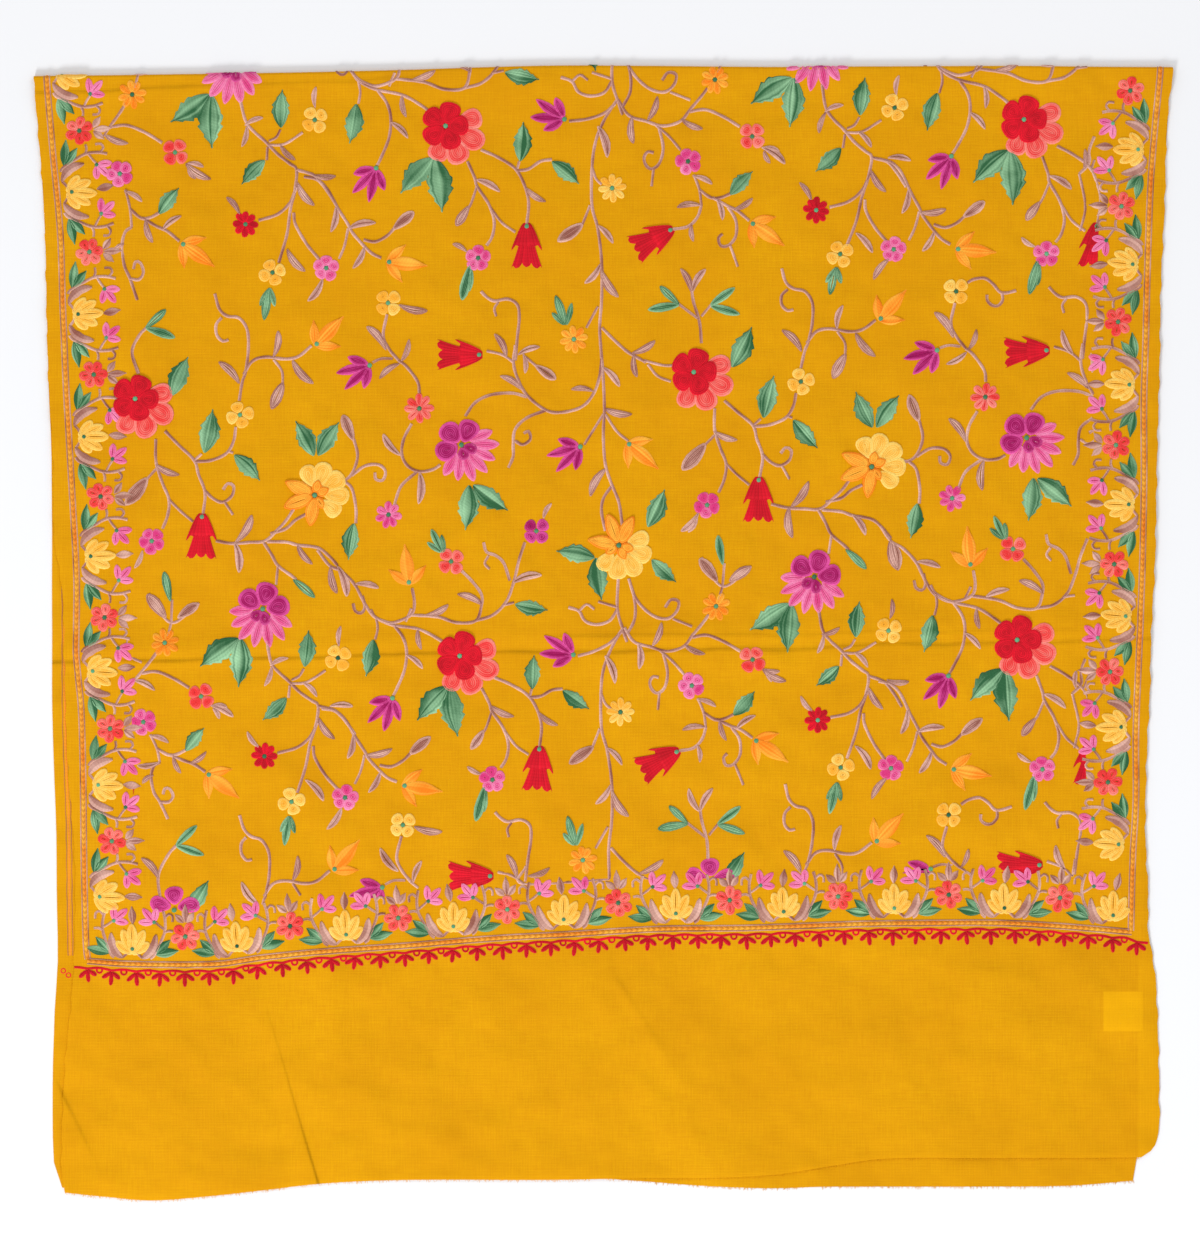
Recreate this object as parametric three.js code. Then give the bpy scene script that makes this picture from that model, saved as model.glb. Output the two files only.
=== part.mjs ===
// A fine wool shawl, folded once across its length and laid flat with the fold at the top.
// Units are millimetres. +X runs to the right, +Y towards the fold, +Z up off the floor.
// The origin is on the floor, in the middle of the laid shawl.
//
// The cloth is one length. It is drawn as three stretches that meet edge to edge:
// the lower half on the floor, the bend at the fold, and the upper half that lies on the lower one.
import * as THREE from 'three';

// ---------------------------------------------------------------- driving dimensions
const clothWall = 1.2; // woven cloth with its embroidery
const seamGap = 0.3; // clearance between neighbouring stretches
const foldHollow = 3.0; // space that the springy cloth keeps inside the bend
const foldLeg = 8; // straight cloth at each end of the bend
const foldSpread = 26; // how far from the fold the upper half settles down
const overhangSettle = 12; // how far past the lower half the upper half reaches the floor
const labelSize = 36; // square care label, sewn on the underside of the upper half
const labelWall = 1.0;
const labelCentre = { x: 478, y: -348 };
const labelEase = 9; // how far around the label the cloth is lifted

const lowerTop = clothWall;
const restHeight = lowerTop + seamGap; // underside of the upper half where it lies flat
const foldRadius = (foldHollow + 2 * clothWall) / 2;

const mesh = {
  columns: 34, // across the upper half and the bend
  rows: 36, // from the fold to the hem of the upper half
  lowerColumns: 14,
  lowerRows: 24,
  bendSteps: 6,
};
const labelMargin = 1040 / mesh.columns; // the lift stays whole for one mesh step past the label

// X of the long edges at a share of the way down from the fold (0) to the hem (1)
const longEdges = {
  upper: [
    { down: 0.0, left: -524, right: 524 },
    { down: 0.05, left: -520, right: 518.5 },
    { down: 0.12, left: -514.5, right: 516.6 },
    { down: 0.2, left: -512.5, right: 512.9 },
    { down: 0.27, left: -511, right: 511.8 },
    { down: 0.34, left: -507.4, right: 509.8 },
    { down: 0.41, left: -507.2, right: 508.3 },
    { down: 0.46, left: -499.4, right: 507.2 },
    { down: 0.52, left: -497.4, right: 503.9 },
    { down: 0.57, left: -496.3, right: 503.0 },
    { down: 0.62, left: -494.5, right: 500.3 },
    { down: 0.7, left: -488.3, right: 498.6 },
    { down: 0.76, left: -488.1, right: 501.4 },
    { down: 0.79, left: -488.5, right: 501.2 },
    { down: 0.83, left: -490.2, right: 507.6 },
    { down: 0.88, left: -495.0, right: 510.3 },
    { down: 0.94, left: -498.0, right: 511.5 },
    { down: 0.98, left: -498.4, right: 510.4 },
    { down: 1.0, left: -495.4, right: 497.0 },
  ],
  lower: [
    { down: 0.0, left: -522.5, right: 522.5 },
    { down: 0.12, left: -513.5, right: 514.5 },
    { down: 0.27, left: -509.5, right: 508.0 },
    { down: 0.34, left: -507.4, right: 506.0 },
    { down: 0.47, left: -506.5, right: 502.5 },
    { down: 0.58, left: -505.5, right: 499.5 },
    { down: 0.67, left: -502.0, right: 496.0 },
    { down: 0.75, left: -500.9, right: 493.5 },
    { down: 0.8, left: -500.2, right: 491.8 },
    { down: 0.84, left: -503.9, right: 491.0 },
    { down: 0.91, left: -506.4, right: 490.8 },
    { down: 0.98, left: -505.6, right: 491.4 },
    { down: 1.0, left: -498.2, right: 487.5 },
  ],
};

// Y of the fold and of both hems at a share of the way across, from the left edge to the right one
const crossEdges = [
  { across: 0.0, fold: 512.4, upperHem: -514.8, lowerHem: -510.6 },
  { across: 0.04, fold: 512.9, upperHem: -519.0, lowerHem: -513.2 },
  { across: 0.08, fold: 513.4, upperHem: -522.2, lowerHem: -515.8 },
  { across: 0.13, fold: 514.2, upperHem: -518.6, lowerHem: -512.6 },
  { across: 0.18, fold: 514.9, upperHem: -513.3, lowerHem: -507.4 },
  { across: 0.24, fold: 516.0, upperHem: -506.5, lowerHem: -501.4 },
  { across: 0.32, fold: 518.0, upperHem: -503.2, lowerHem: -499.0 },
  { across: 0.45, fold: 522.0, upperHem: -503.2, lowerHem: -499.0 },
  { across: 0.54, fold: 521.8, upperHem: -501.6, lowerHem: -504.6 },
  { across: 0.6, fold: 521.2, upperHem: -501.4, lowerHem: -509.0 },
  { across: 0.66, fold: 520.8, upperHem: -498.4, lowerHem: -511.2 },
  { across: 0.71, fold: 521.2, upperHem: -490.8, lowerHem: -509.8 },
  { across: 0.76, fold: 521.4, upperHem: -483.8, lowerHem: -509.6 },
  { across: 0.86, fold: 521.8, upperHem: -483.0, lowerHem: -509.6 },
  { across: 0.94, fold: 521.0, upperHem: -483.0, lowerHem: -508.8 },
  { across: 1.0, fold: 520.7, upperHem: -482.4, lowerHem: -504.2 },
];

// Soft ridges in the upper half: a straight run, how high it stands and how wide it spreads
const ridges = [
  { fromX: -506, fromY: -27, toX: -187, toY: -18, rise: 1.7, spread: 17 },
  { fromX: -187, fromY: -18, toX: 89, toY: -4, rise: 1.5, spread: 17 },
  { fromX: 89, fromY: -4, toX: 506, toY: -6, rise: 1.2, spread: 19 },
  { fromX: -301, fromY: -365, toX: -262, toY: -507, rise: 1.8, spread: 16 },
  { fromX: -494, fromY: -430, toX: -462, toY: -500, rise: 1.0, spread: 16 },
  { fromX: -252, fromY: -301, toX: -256, toY: -430, rise: 0.8, spread: 18 },
  { fromX: 2, fromY: -280, toX: 2, toY: -352, rise: 0.8, spread: 16 },
  { fromX: 19, fromY: -326, toX: 78, toY: -419, rise: 1.0, spread: 18 },
  { fromX: 281, fromY: -296, toX: 392, toY: -323, rise: 0.9, spread: 16 },
  { fromX: 329, fromY: -392, toX: 350, toY: -416, rise: 0.8, spread: 16 },
  { fromX: -515, fromY: 470, toX: -230, toY: 478, rise: 0.8, spread: 15 },
];

// Long shallow waves that run slantwise over the whole upper half
const waves = [
  { length: 410, slant: 0.62, shift: 0.4, rise: 0.55 },
  { length: 265, slant: -0.95, shift: 1.9, rise: 0.4 },
];

const colours = {
  cloth: 0xdf9e1c,
  reverse: 0xe2a528,
  label: 0xf3e9d2,
};

// ---------------------------------------------------------------- helpers
// Value of a table's column at a place along its first column, smoothed through its rows
function readTable(rows, along, column, place) {
  const last = rows.length - 1;
  let i = 0;
  while (i < last - 1 && place > rows[i + 1][along]) i += 1;
  const span = rows[i + 1][along] - rows[i][along];
  const share = THREE.MathUtils.clamp((place - rows[i][along]) / span, 0, 1);
  const slopeAt = (k) => {
    const before = rows[Math.max(k - 1, 0)];
    const after = rows[Math.min(k + 1, last)];
    return (after[column] - before[column]) / (after[along] - before[along]);
  };
  const a = rows[i][column];
  const b = rows[i + 1][column];
  const s2 = share * share;
  const s3 = s2 * share;
  return (
    a * (2 * s3 - 3 * s2 + 1) +
    slopeAt(i) * span * (s3 - 2 * s2 + share) +
    b * (3 * s2 - 2 * s3) +
    slopeAt(i + 1) * span * (s3 - s2)
  );
}

// Where a share across and a share down lie in plan, on the upper or the lower half
function planPoint(half, across, down) {
  const left = readTable(longEdges[half], 'down', 'left', down);
  const right = readTable(longEdges[half], 'down', 'right', down);
  const fold = readTable(crossEdges, 'across', 'fold', across);
  const hem = readTable(crossEdges, 'across', `${half}Hem`, across);
  const start = fold - foldRadius - foldLeg - seamGap;
  return {
    x: THREE.MathUtils.lerp(left, right, across),
    y: THREE.MathUtils.lerp(start, hem, down),
  };
}

function ridgeHeight(ridge, x, y) {
  const alongX = ridge.toX - ridge.fromX;
  const alongY = ridge.toY - ridge.fromY;
  const length2 = alongX * alongX + alongY * alongY;
  const t = THREE.MathUtils.clamp(
    ((x - ridge.fromX) * alongX + (y - ridge.fromY) * alongY) / length2,
    0,
    1,
  );
  const away = Math.hypot(x - ridge.fromX - t * alongX, y - ridge.fromY - t * alongY);
  return ridge.rise * Math.exp(-((away / ridge.spread) ** 2));
}

// How far outside the square label a point lies, and the lift that clears it
function labelLift(x, y) {
  const outX = Math.max(Math.abs(x - labelCentre.x) - labelSize / 2, 0);
  const outY = Math.max(Math.abs(y - labelCentre.y) - labelSize / 2, 0);
  const away = Math.max(Math.hypot(outX, outY) - labelMargin, 0);
  return (labelWall + seamGap) * Math.exp(-((away / labelEase) ** 2));
}

// Height of the upper half's underside above the floor
function upperUnderside(x, y, across, down) {
  const fold = readTable(crossEdges, 'across', 'fold', across);
  const fromFold = fold - foldRadius - foldLeg - y;
  const wave = waves.reduce((sum, w) => {
    const phase = ((x + w.slant * y) / w.length) * 2 * Math.PI + w.shift;
    return sum + (w.rise * (1 + Math.sin(phase))) / 2;
  }, 0);
  const ridge = ridges.reduce((top, r) => Math.max(top, ridgeHeight(r, x, y)), 0);
  const bend = (foldHollow - seamGap) * Math.exp(-((fromFold / foldSpread) ** 2));
  const overLabel = labelLift(x, y);
  const lift = Math.max(bend, overLabel, Math.min(wave + ridge, foldHollow - seamGap));

  // past the lower half's right edge the cloth comes down to the floor, but not beside the label
  const lowerRight = readTable(longEdges.lower, 'down', 'right', down);
  const past = THREE.MathUtils.smoothstep((x - lowerRight) / overhangSettle, 0.35, 1.35);
  const free = 1 - overLabel / (labelWall + seamGap);
  return restHeight + lift - past * free * (restHeight - seamGap);
}

// A closed wall between an outer and an inner sheet of points, both given over the same grid
function wallBetween(outerAt, innerAt, columns, rows) {
  const positions = [];
  const index = [];
  const perSheet = (columns + 1) * (rows + 1);
  for (const pointAt of [outerAt, innerAt]) {
    for (let j = 0; j <= rows; j += 1) {
      for (let i = 0; i <= columns; i += 1) positions.push(...pointAt(i / columns, j / rows));
    }
  }
  const outer = (i, j) => j * (columns + 1) + i;
  const inner = (i, j) => perSheet + outer(i, j);
  const quad = (a, b, c, d) => index.push(a, b, c, a, c, d);

  for (let j = 0; j < rows; j += 1) {
    for (let i = 0; i < columns; i += 1) {
      quad(outer(i, j), outer(i, j + 1), outer(i + 1, j + 1), outer(i + 1, j));
      quad(inner(i, j), inner(i + 1, j), inner(i + 1, j + 1), inner(i, j + 1));
    }
    quad(outer(0, j), inner(0, j), inner(0, j + 1), outer(0, j + 1));
    quad(outer(columns, j), outer(columns, j + 1), inner(columns, j + 1), inner(columns, j));
  }
  for (let i = 0; i < columns; i += 1) {
    quad(outer(i, 0), outer(i + 1, 0), inner(i + 1, 0), inner(i, 0));
    quad(outer(i, rows), inner(i, rows), inner(i + 1, rows), outer(i + 1, rows));
  }
  const geometry = new THREE.BufferGeometry();
  geometry.setAttribute('position', new THREE.Float32BufferAttribute(positions, 3));
  geometry.setIndex(index);
  geometry.computeVertexNormals();
  return geometry;
}

function clothMaterial(color) {
  return new THREE.MeshStandardMaterial({ color, roughness: 0.85, metalness: 0 });
}

function named(name, geometry, material) {
  const piece = new THREE.Mesh(geometry, material);
  piece.name = name;
  return piece;
}

// ---------------------------------------------------------------- the stretches of cloth
function upperHalf() {
  const sheet = (lift) => (across, down) => {
    const { x, y } = planPoint('upper', across, down);
    return [x, y, upperUnderside(x, y, across, down) + lift];
  };
  const geometry = wallBetween(sheet(clothWall), sheet(0), mesh.columns, mesh.rows);
  return named('upper_half', geometry, clothMaterial(colours.cloth));
}

function lowerHalf() {
  const sheet = (z) => (across, down) => {
    const { x, y } = planPoint('lower', across, down);
    return [x, y, z];
  };
  const geometry = wallBetween(sheet(lowerTop), sheet(0), mesh.lowerColumns, mesh.lowerRows);
  return named('lower_half', geometry, clothMaterial(colours.reverse));
}

// The bend: a leg over the upper half's edge, half a turn, and a leg over the lower half's edge
function foldBend() {
  const steps = mesh.bendSteps;
  const sheet = (radius) => (across, turn) => {
    const step = Math.round(turn * (steps + 2));
    const fold = readTable(crossEdges, 'across', 'fold', across);
    const left = THREE.MathUtils.lerp(longEdges.upper[0].left, longEdges.upper[0].right, across);
    const angle = Math.PI * THREE.MathUtils.clamp((step - 1) / steps, 0, 1);
    const isLeg = step === 0 || step === steps + 2;
    const reach = radius * Math.sin(angle) - (isLeg ? foldLeg : 0);
    return [left, fold - foldRadius + reach, foldRadius + radius * Math.cos(angle)];
  };
  // the grid runs from the floor side up, so that the outer sheet faces out
  const outer = (across, turn) => sheet(foldRadius)(across, turn);
  const inner = (across, turn) => sheet(foldRadius - clothWall)(across, turn);
  const geometry = wallBetween(
    (across, turn) => outer(across, 1 - turn),
    (across, turn) => inner(across, 1 - turn),
    mesh.columns,
    steps + 2,
  );
  return named('fold_bend', geometry, clothMaterial(colours.cloth));
}

function careLabel() {
  const geometry = new THREE.BoxGeometry(labelSize, labelSize, labelWall);
  const label = named('care_label', geometry, clothMaterial(colours.label));
  label.position.set(labelCentre.x, labelCentre.y, restHeight + labelWall / 2);
  return label;
}

const shawl = new THREE.Group();
shawl.add(lowerHalf(), foldBend(), upperHalf(), careLabel());

export default shawl;
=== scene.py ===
import itertools
import math

import bpy
import numpy as np
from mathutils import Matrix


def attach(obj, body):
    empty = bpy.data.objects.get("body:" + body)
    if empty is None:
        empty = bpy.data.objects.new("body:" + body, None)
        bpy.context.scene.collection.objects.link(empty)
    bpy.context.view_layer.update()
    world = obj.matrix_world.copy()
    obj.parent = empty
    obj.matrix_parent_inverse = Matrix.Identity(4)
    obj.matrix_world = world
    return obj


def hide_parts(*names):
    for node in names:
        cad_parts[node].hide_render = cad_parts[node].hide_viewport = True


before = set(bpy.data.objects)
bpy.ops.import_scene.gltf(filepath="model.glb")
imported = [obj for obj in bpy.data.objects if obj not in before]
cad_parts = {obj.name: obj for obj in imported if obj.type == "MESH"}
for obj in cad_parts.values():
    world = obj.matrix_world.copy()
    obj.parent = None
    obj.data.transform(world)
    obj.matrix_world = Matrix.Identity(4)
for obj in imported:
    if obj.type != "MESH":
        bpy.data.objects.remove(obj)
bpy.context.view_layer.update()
mm = 0.001  # tables below are in millimetres, meshes are in metres
chance = np.random.default_rng(11)


# the laid cloth

shawl = {
    "clothWall": 1.2,  # space that one layer takes in the frame
    "thickness": 1.0,  # the cloth itself
    "layerGap": 0.3,
    "floorGap": 0.05,
    "halfWidth": 524,  # at the fold
    "foldLevel": 520,  # nominal Y of the fold
    "halfLength": 1030,
    "foldRadius": 2.7,
    "bendRise": 2.7,  # how far the springy bend holds the upper half up
    "foldSpread": 26,  # how far from the fold the upper half settles
    "creaseStart": 20,  # how far from the fold the creases begin
    "lowestDip": -0.3,
    "settleWidth": 12,  # how the upper half comes down past the lower one
    "edgeWaver": ((0.5, 205, 40), (0.4, 348, 17)),  # sewn edges: height, turn down, turn across
    "waverReach": 150,  # one over the share of the width that it takes in
    "keptTurn": 1.85,  # how far round the bend the stitches go, in radians
    "ridgeRise": 1.45,
    "ridgeSpread": 0.72,
    "columns": 176,
    "upperRows": 178,
    "bendSteps": 10,
    "lowerRows": 44,
    "bakeWidth": 1060,
    "flatWidth": 1.045,  # metres
    "flatLength": 2.06,
}

# X of the long edges at a share of the way down from the fold
upperSides = {
    "down": [
        0, 0.05, 0.12, 0.2, 0.27, 0.34, 0.41, 0.46, 0.52, 0.57,
        0.62, 0.7, 0.76, 0.79, 0.83, 0.88, 0.94, 0.98, 0.992, 1,
    ],
    "left": [
        -524, -520, -514.5, -512.5, -510.6, -506.4, -505.6, -498, -495.8, -494.6,
        -492.6, -486.4, -486.2, -487, -489.8, -495, -498, -498.4, -497.4, -495.4,
    ],
    "right": [
        524, 518.5, 516.6, 512.9, 511.8, 509.8, 508.3, 507.2, 503.9, 503,
        500.3, 498.6, 501.4, 501.2, 507.6, 510.3, 511.5, 510.8, 505.4, 495,
    ],
}
lowerSides = {
    "down": [0, 0.12, 0.27, 0.34, 0.47, 0.58, 0.67, 0.75, 0.8, 0.84, 0.91, 0.98, 1],
    "left": [
        -524, -515, -511, -508.2, -507.6, -507.2, -504, -503, -502.4, -505.2, -507, -505.6, -498.2,
    ],
    "right": [522.5, 514.5, 508, 506, 502.5, 499.5, 496, 493.5, 491.8, 491, 490.8, 491.4, 487.5],
}
# Y of the fold and of both hems at a share of the way across
crossEdges = {
    "across": [0, 0.04, 0.08, 0.13, 0.18, 0.24, 0.32, 0.45, 0.54, 0.6, 0.66, 0.71, 0.76, 0.86, 0.94, 1],
    "fold": [
        512.4, 512.9, 513.4, 514.2, 514.9, 516, 518, 522,
        521.8, 521.2, 520.8, 521.2, 521.4, 521.8, 521, 520.7,
    ],
    "upperHem": [
        -514.8, -519, -522.2, -518.6, -513.3, -506.5, -503.2, -503.2,
        -501.6, -501.4, -498.4, -490.8, -483.8, -483, -483, -482.4,
    ],
    "lowerHem": [
        -510.6, -513.2, -515.8, -512.6, -507.4, -501.4, -499, -499,
        -504.6, -509, -511.2, -509.8, -509.6, -509.6, -508.8, -504.2,
    ],
}

ridgeRows = [  # soft ridges: from, to, how high, how wide
    (-506, -17, -340, -16, 1.7, 15),
    (-340, -16, -187, -9, 1.6, 16),
    (-187, -9, 89, 1, 1.4, 16),
    (89, 1, 310, 8, 1.2, 14),
    (310, 8, 506, 4, 0.9, 16),
    (-500, -48, -200, -44, 0.5, 14),
    (-100, -34, 300, -24, 0.5, 13),
    (-307, -365, -295, -399, 0.4, 14),
    (-295, -399, -269, -507, 0.8, 16),
    (-494, -430, -480, -463, 0.5, 15),
    (-480, -463, -462, -500, 0.6, 15),
    (-254, -290, -252, -352, 0.7, 13),
    (-252, -352, -258, -440, 0.5, 15),
    (2, -280, 2, -352, 0.7, 11),
    (19, -326, 78, -419, 0.8, 13),
    (78, -419, 96, -480, 0.4, 18),
    (281, -296, 392, -323, 0.7, 12),
    (329, -392, 350, -416, 0.6, 12),
    (-520, 494, -330, 502, 0.5, 5),
    (-330, 502, -180, 506, 0.4, 5),
    (-506, 300, -440, 330, 0.4, 14),
    (-60, 330, 60, 260, 0.4, 18),
    (180, 280, 330, 200, 0.4, 18),
    (-140, 90, 20, 140, 0.4, 20),
    (-420, 120, -330, 40, 0.4, 18),
    (-330, -120, -200, -180, 0.4, 20),
    (60, -120, 200, -190, 0.4, 20),
]
waveRows = [  # length, direction in degrees, shift, height
    (410, 32, 0.4, 0.36),
    (265, 136, 1.9, 0.3),
    (148, 62, 0.2, 0.2),
    (96, 24, 0.9, 0.18),
    (73, 118, 2.7, 0.15),
    (61, 63, 4.1, 0.1),
    (47, 151, 5.2, 0.07),
    (38, 8, 3.3, 0.04),
]
labelPatch = {"x": 478, "y": -348, "size": 36, "lift": 1.3, "ease": 7}


def readTable(table, along, column, place):  # smooth value of a column at a place
    xs = np.array(table[along], float)
    ys = np.array(table[column], float)
    slopes = np.empty_like(ys)
    slopes[1:-1] = (ys[2:] - ys[:-2]) / (xs[2:] - xs[:-2])
    slopes[0] = (ys[1] - ys[0]) / (xs[1] - xs[0])
    slopes[-1] = (ys[-1] - ys[-2]) / (xs[-1] - xs[-2])
    place = np.clip(np.asarray(place, float), xs[0], xs[-1])
    i = np.clip(np.searchsorted(xs, place, side="right") - 1, 0, len(xs) - 2)
    span = xs[i + 1] - xs[i]
    t = (place - xs[i]) / span
    return (
        ys[i] * (2 * t**3 - 3 * t**2 + 1)
        + slopes[i] * span * (t**3 - 2 * t**2 + t)
        + ys[i + 1] * (3 * t**2 - 2 * t**3)
        + slopes[i + 1] * span * (t**3 - t**2)
    )


def smoothStep(low, high, value):
    t = np.clip((value - low) / (high - low), 0, 1)
    return t * t * (3 - 2 * t)


def foldY(x):  # the fold's outer edge above a place across
    half = shawl["halfWidth"]
    return readTable(crossEdges, "across", "fold", (x + half) / (2 * half))


def upperTop(x, y):  # height of the upper half's face above the floor
    lift = np.zeros_like(x)
    for fromX, fromY, toX, toY, rise, spread in ridgeRows:
        rise, spread = rise * shawl["ridgeRise"], spread * shawl["ridgeSpread"]
        alongX, alongY = toX - fromX, toY - fromY
        ahead = (x - fromX) * alongX + (y - fromY) * alongY
        t = np.clip(ahead / (alongX**2 + alongY**2), 0, 1)
        away = np.hypot(x - fromX - t * alongX, y - fromY - t * alongY)
        lift = np.maximum(lift, rise * np.exp(-((away / spread) ** 2)))
    for length, degrees, shift, height in waveRows:
        turn = math.radians(degrees)
        run = x * math.cos(turn) + y * math.sin(turn)
        lift += height * np.sin(run * 2 * math.pi / length + shift)
    lift = np.maximum(lift, shawl["lowestDip"])
    half = labelPatch["size"] / 2
    outX = np.maximum(np.abs(x - labelPatch["x"]) - half, 0)
    outY = np.maximum(np.abs(y - labelPatch["y"]) - half, 0)
    overLabel = labelPatch["lift"] * np.exp(-((np.hypot(outX, outY) / labelPatch["ease"]) ** 2))
    fromFold = np.maximum(foldY(x) - shawl["foldRadius"] - y, 0)
    bend = shawl["bendRise"] * np.exp(-((fromFold / shawl["foldSpread"]) ** 2))
    creased = 1 - np.exp(-((fromFold / shawl["creaseStart"]) ** 2))
    lift = np.maximum(np.maximum(overLabel, bend), lift * creased)
    down = np.clip((shawl["foldLevel"] - y) / shawl["halfLength"], 0, 1)
    pastLower = (x - readTable(lowerSides, "down", "right", down)) / shawl["settleWidth"]
    settle = smoothStep(0.2, 1.2, pastLower) * (1 - overLabel / labelPatch["lift"])
    rest = shawl["clothWall"] + shawl["layerGap"]
    return rest + shawl["clothWall"] + lift - settle * (rest - shawl["layerGap"])


def planPoints(sides, hem, across, down):  # where shares across and down lie in plan
    left = readTable(sides, "down", "left", down)
    right = readTable(sides, "down", "right", down)
    start = readTable(crossEdges, "across", "fold", across) - shawl["foldRadius"]
    end = readTable(crossEdges, "across", hem, across)
    reach = shawl["waverReach"]
    beside = np.clip(1 - across * reach, 0, 1) - np.clip(1 - (1 - across) * reach, 0, 1)
    waver = sum(height * np.sin(down * far + across * skew) for height, far, skew in shawl["edgeWaver"])
    return left + (right - left) * across + waver * beside, start + (end - start) * down


def layOnFace(points, heights):  # flat places, lifted off the upper half's face and over the fold
    x, y = points[:, 0], points[:, 1]
    radius = shawl["foldRadius"]
    past = np.maximum(y - (foldY(x) - radius), 0)
    turn = past / radius
    flatZ = upperTop(x, y) + heights
    bendY = foldY(x) - radius + (radius + heights) * np.sin(turn)
    bendZ = radius + (radius + heights) * np.cos(turn)
    placed = np.stack([x, np.where(past > 0, bendY, y), np.where(past > 0, bendZ, flatZ)], axis=1)
    return placed, turn < shawl["keptTurn"]


def newMesh(name, verts, faces, floats=None, bakeUv=None):  # verts in metres, faces of four corners
    mesh = bpy.data.meshes.new(name)
    mesh.vertices.add(len(verts))
    mesh.vertices.foreach_set("co", np.asarray(verts, np.float32).ravel())
    faces = np.asarray(faces, np.int32)
    mesh.loops.add(faces.size)
    mesh.loops.foreach_set("vertex_index", faces.ravel())
    mesh.polygons.add(len(faces))
    mesh.polygons.foreach_set("loop_start", np.arange(0, faces.size, 4, dtype=np.int32))
    mesh.polygons.foreach_set("use_smooth", np.ones(len(faces), bool))
    for attribute, values in (floats or {}).items():
        layer = mesh.attributes.new(attribute, "FLOAT", "POINT")
        layer.data.foreach_set("value", np.asarray(values, np.float32))
    if bakeUv is not None:
        layer = mesh.uv_layers.new(name="OFBake")
        layer.data.foreach_set("uv", np.asarray(bakeUv, np.float32)[faces.ravel()].ravel())
    mesh.update(calc_edges=True)
    mesh.validate()
    piece = bpy.data.objects.new(name, mesh)
    bpy.context.scene.collection.objects.link(piece)
    return piece


def gridFaces(index):  # faces between the points of a grid of point numbers
    corners = [index[:-1, :-1], index[:-1, 1:], index[1:, 1:], index[1:, :-1]]
    return np.stack(corners, axis=-1).reshape(-1, 4)


def planPiece(name, verts, faces, floats=None):  # a small piece, in millimetres, unwrapped from above
    bakeUv = verts[:, :2] / shawl["bakeWidth"] + 0.5
    return newMesh(name, verts * mm, faces, floats, bakeUv)


def makeCloth():
    across = np.linspace(0, 1, shawl["columns"] + 1)
    rows = []
    for down in np.linspace(1, 0, shawl["upperRows"] + 1):
        x, y = planPoints(upperSides, "upperHem", across, np.full_like(across, down))
        rows.append(np.stack([x, y, upperTop(x, y)], axis=1))
    radius = shawl["foldRadius"]
    upperX, startY = planPoints(upperSides, "upperHem", across, np.zeros_like(across))
    lowerX, _ = planPoints(lowerSides, "lowerHem", across, np.zeros_like(across))
    for step in range(1, shawl["bendSteps"]):
        share = step / shawl["bendSteps"]
        turn = math.pi * share
        y = startY + radius * math.sin(turn)
        z = np.full_like(y, radius + radius * math.cos(turn))
        rows.append(np.stack([upperX + (lowerX - upperX) * share, y, z], axis=1))
    for down in np.linspace(0, 1, shawl["lowerRows"] + 1):
        x, y = planPoints(lowerSides, "lowerHem", across, np.full_like(across, down))
        rows.append(np.stack([x, y, np.full_like(x, shawl["floorGap"])], axis=1))
    count = len(rows)
    length = np.repeat(np.linspace(0, 1, count), len(across))
    bakeUv = np.stack([np.tile(across, count), length], axis=1)
    index = np.arange(count * len(across)).reshape(count, -1)
    cloth = newMesh("woolCloth", np.concatenate(rows) * mm, gridFaces(index), bakeUv=bakeUv)
    shell = cloth.modifiers.new("clothThickness", "SOLIDIFY")
    shell.thickness = shawl["thickness"] * mm
    shell.offset = -1
    evened = cloth.modifiers.new("evenShading", "WEIGHTED_NORMAL")
    evened.weight = 100  # large faces decide, so the hems shade evenly
    return cloth


cloth = makeCloth()
print("cloth laid", len(cloth.data.polygons), "faces")


# stitches: each yarn gathers its own faces, and heights are above the cloth

yarnColours = {  # deep and light end of each dyed yarn, 0 to 255
    "red": ((178, 0, 22), (250, 12, 44)),
    "coral": ((236, 50, 50), (255, 156, 142)),
    "purple": ((160, 0, 88), (242, 92, 174)),
    "pink": ((220, 52, 124), (253, 154, 196)),
    "orange": ((248, 130, 10), (255, 192, 66)),
    "yellow": ((250, 172, 42), (255, 222, 118)),
    "green": ((42, 96, 58), (160, 208, 162)),
    "mauve": ((146, 86, 72), (240, 192, 176)),
    "teal": ((30, 84, 56), (104, 176, 130)),
    "braid": ((246, 122, 16), (255, 200, 64)),
}
stitch = {
    "edge": -0.1,  # the outline dips into the cloth
    "crest": 0.85,
    "groove": 0.4,
    "pitch": 1.7,  # width of one row of chain stitch
    "step": 2.4,  # spacing of points along a row
    "wobble": 0.03,  # of a petal's outline
    "doming": 0.05,  # rise of a petal from row to row
    "paintedGrooveShade": 0.52,  # painted shade: how much darker the tone is in the groove between two rows
    "leastReach": 0.08,  # of a leaf's ends
}
storeKeys = ("points", "heights", "tones", "along", "faces")
yarnStores = {name: {key: [] for key in storeKeys} | {"count": 0} for name in yarnColours}


def addRows(yarn, points, heights, tones, along, loop=False):
    rows, columns = points.shape[:2]
    store = yarnStores[yarn]
    index = store["count"] + np.arange(rows * columns).reshape(rows, columns)
    if loop:
        index = np.hstack([index, index[:, :1]])
    store["faces"].append(gridFaces(index))
    store["points"].append(points.reshape(-1, 2))
    for key, values in (("heights", heights), ("tones", tones), ("along", along)):
        store[key].append(np.broadcast_to(values, (rows, columns)).reshape(-1).astype(float))
    store["count"] += rows * columns


def heading(angle):
    return np.array([math.cos(math.radians(angle)), math.sin(math.radians(angle))])


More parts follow.
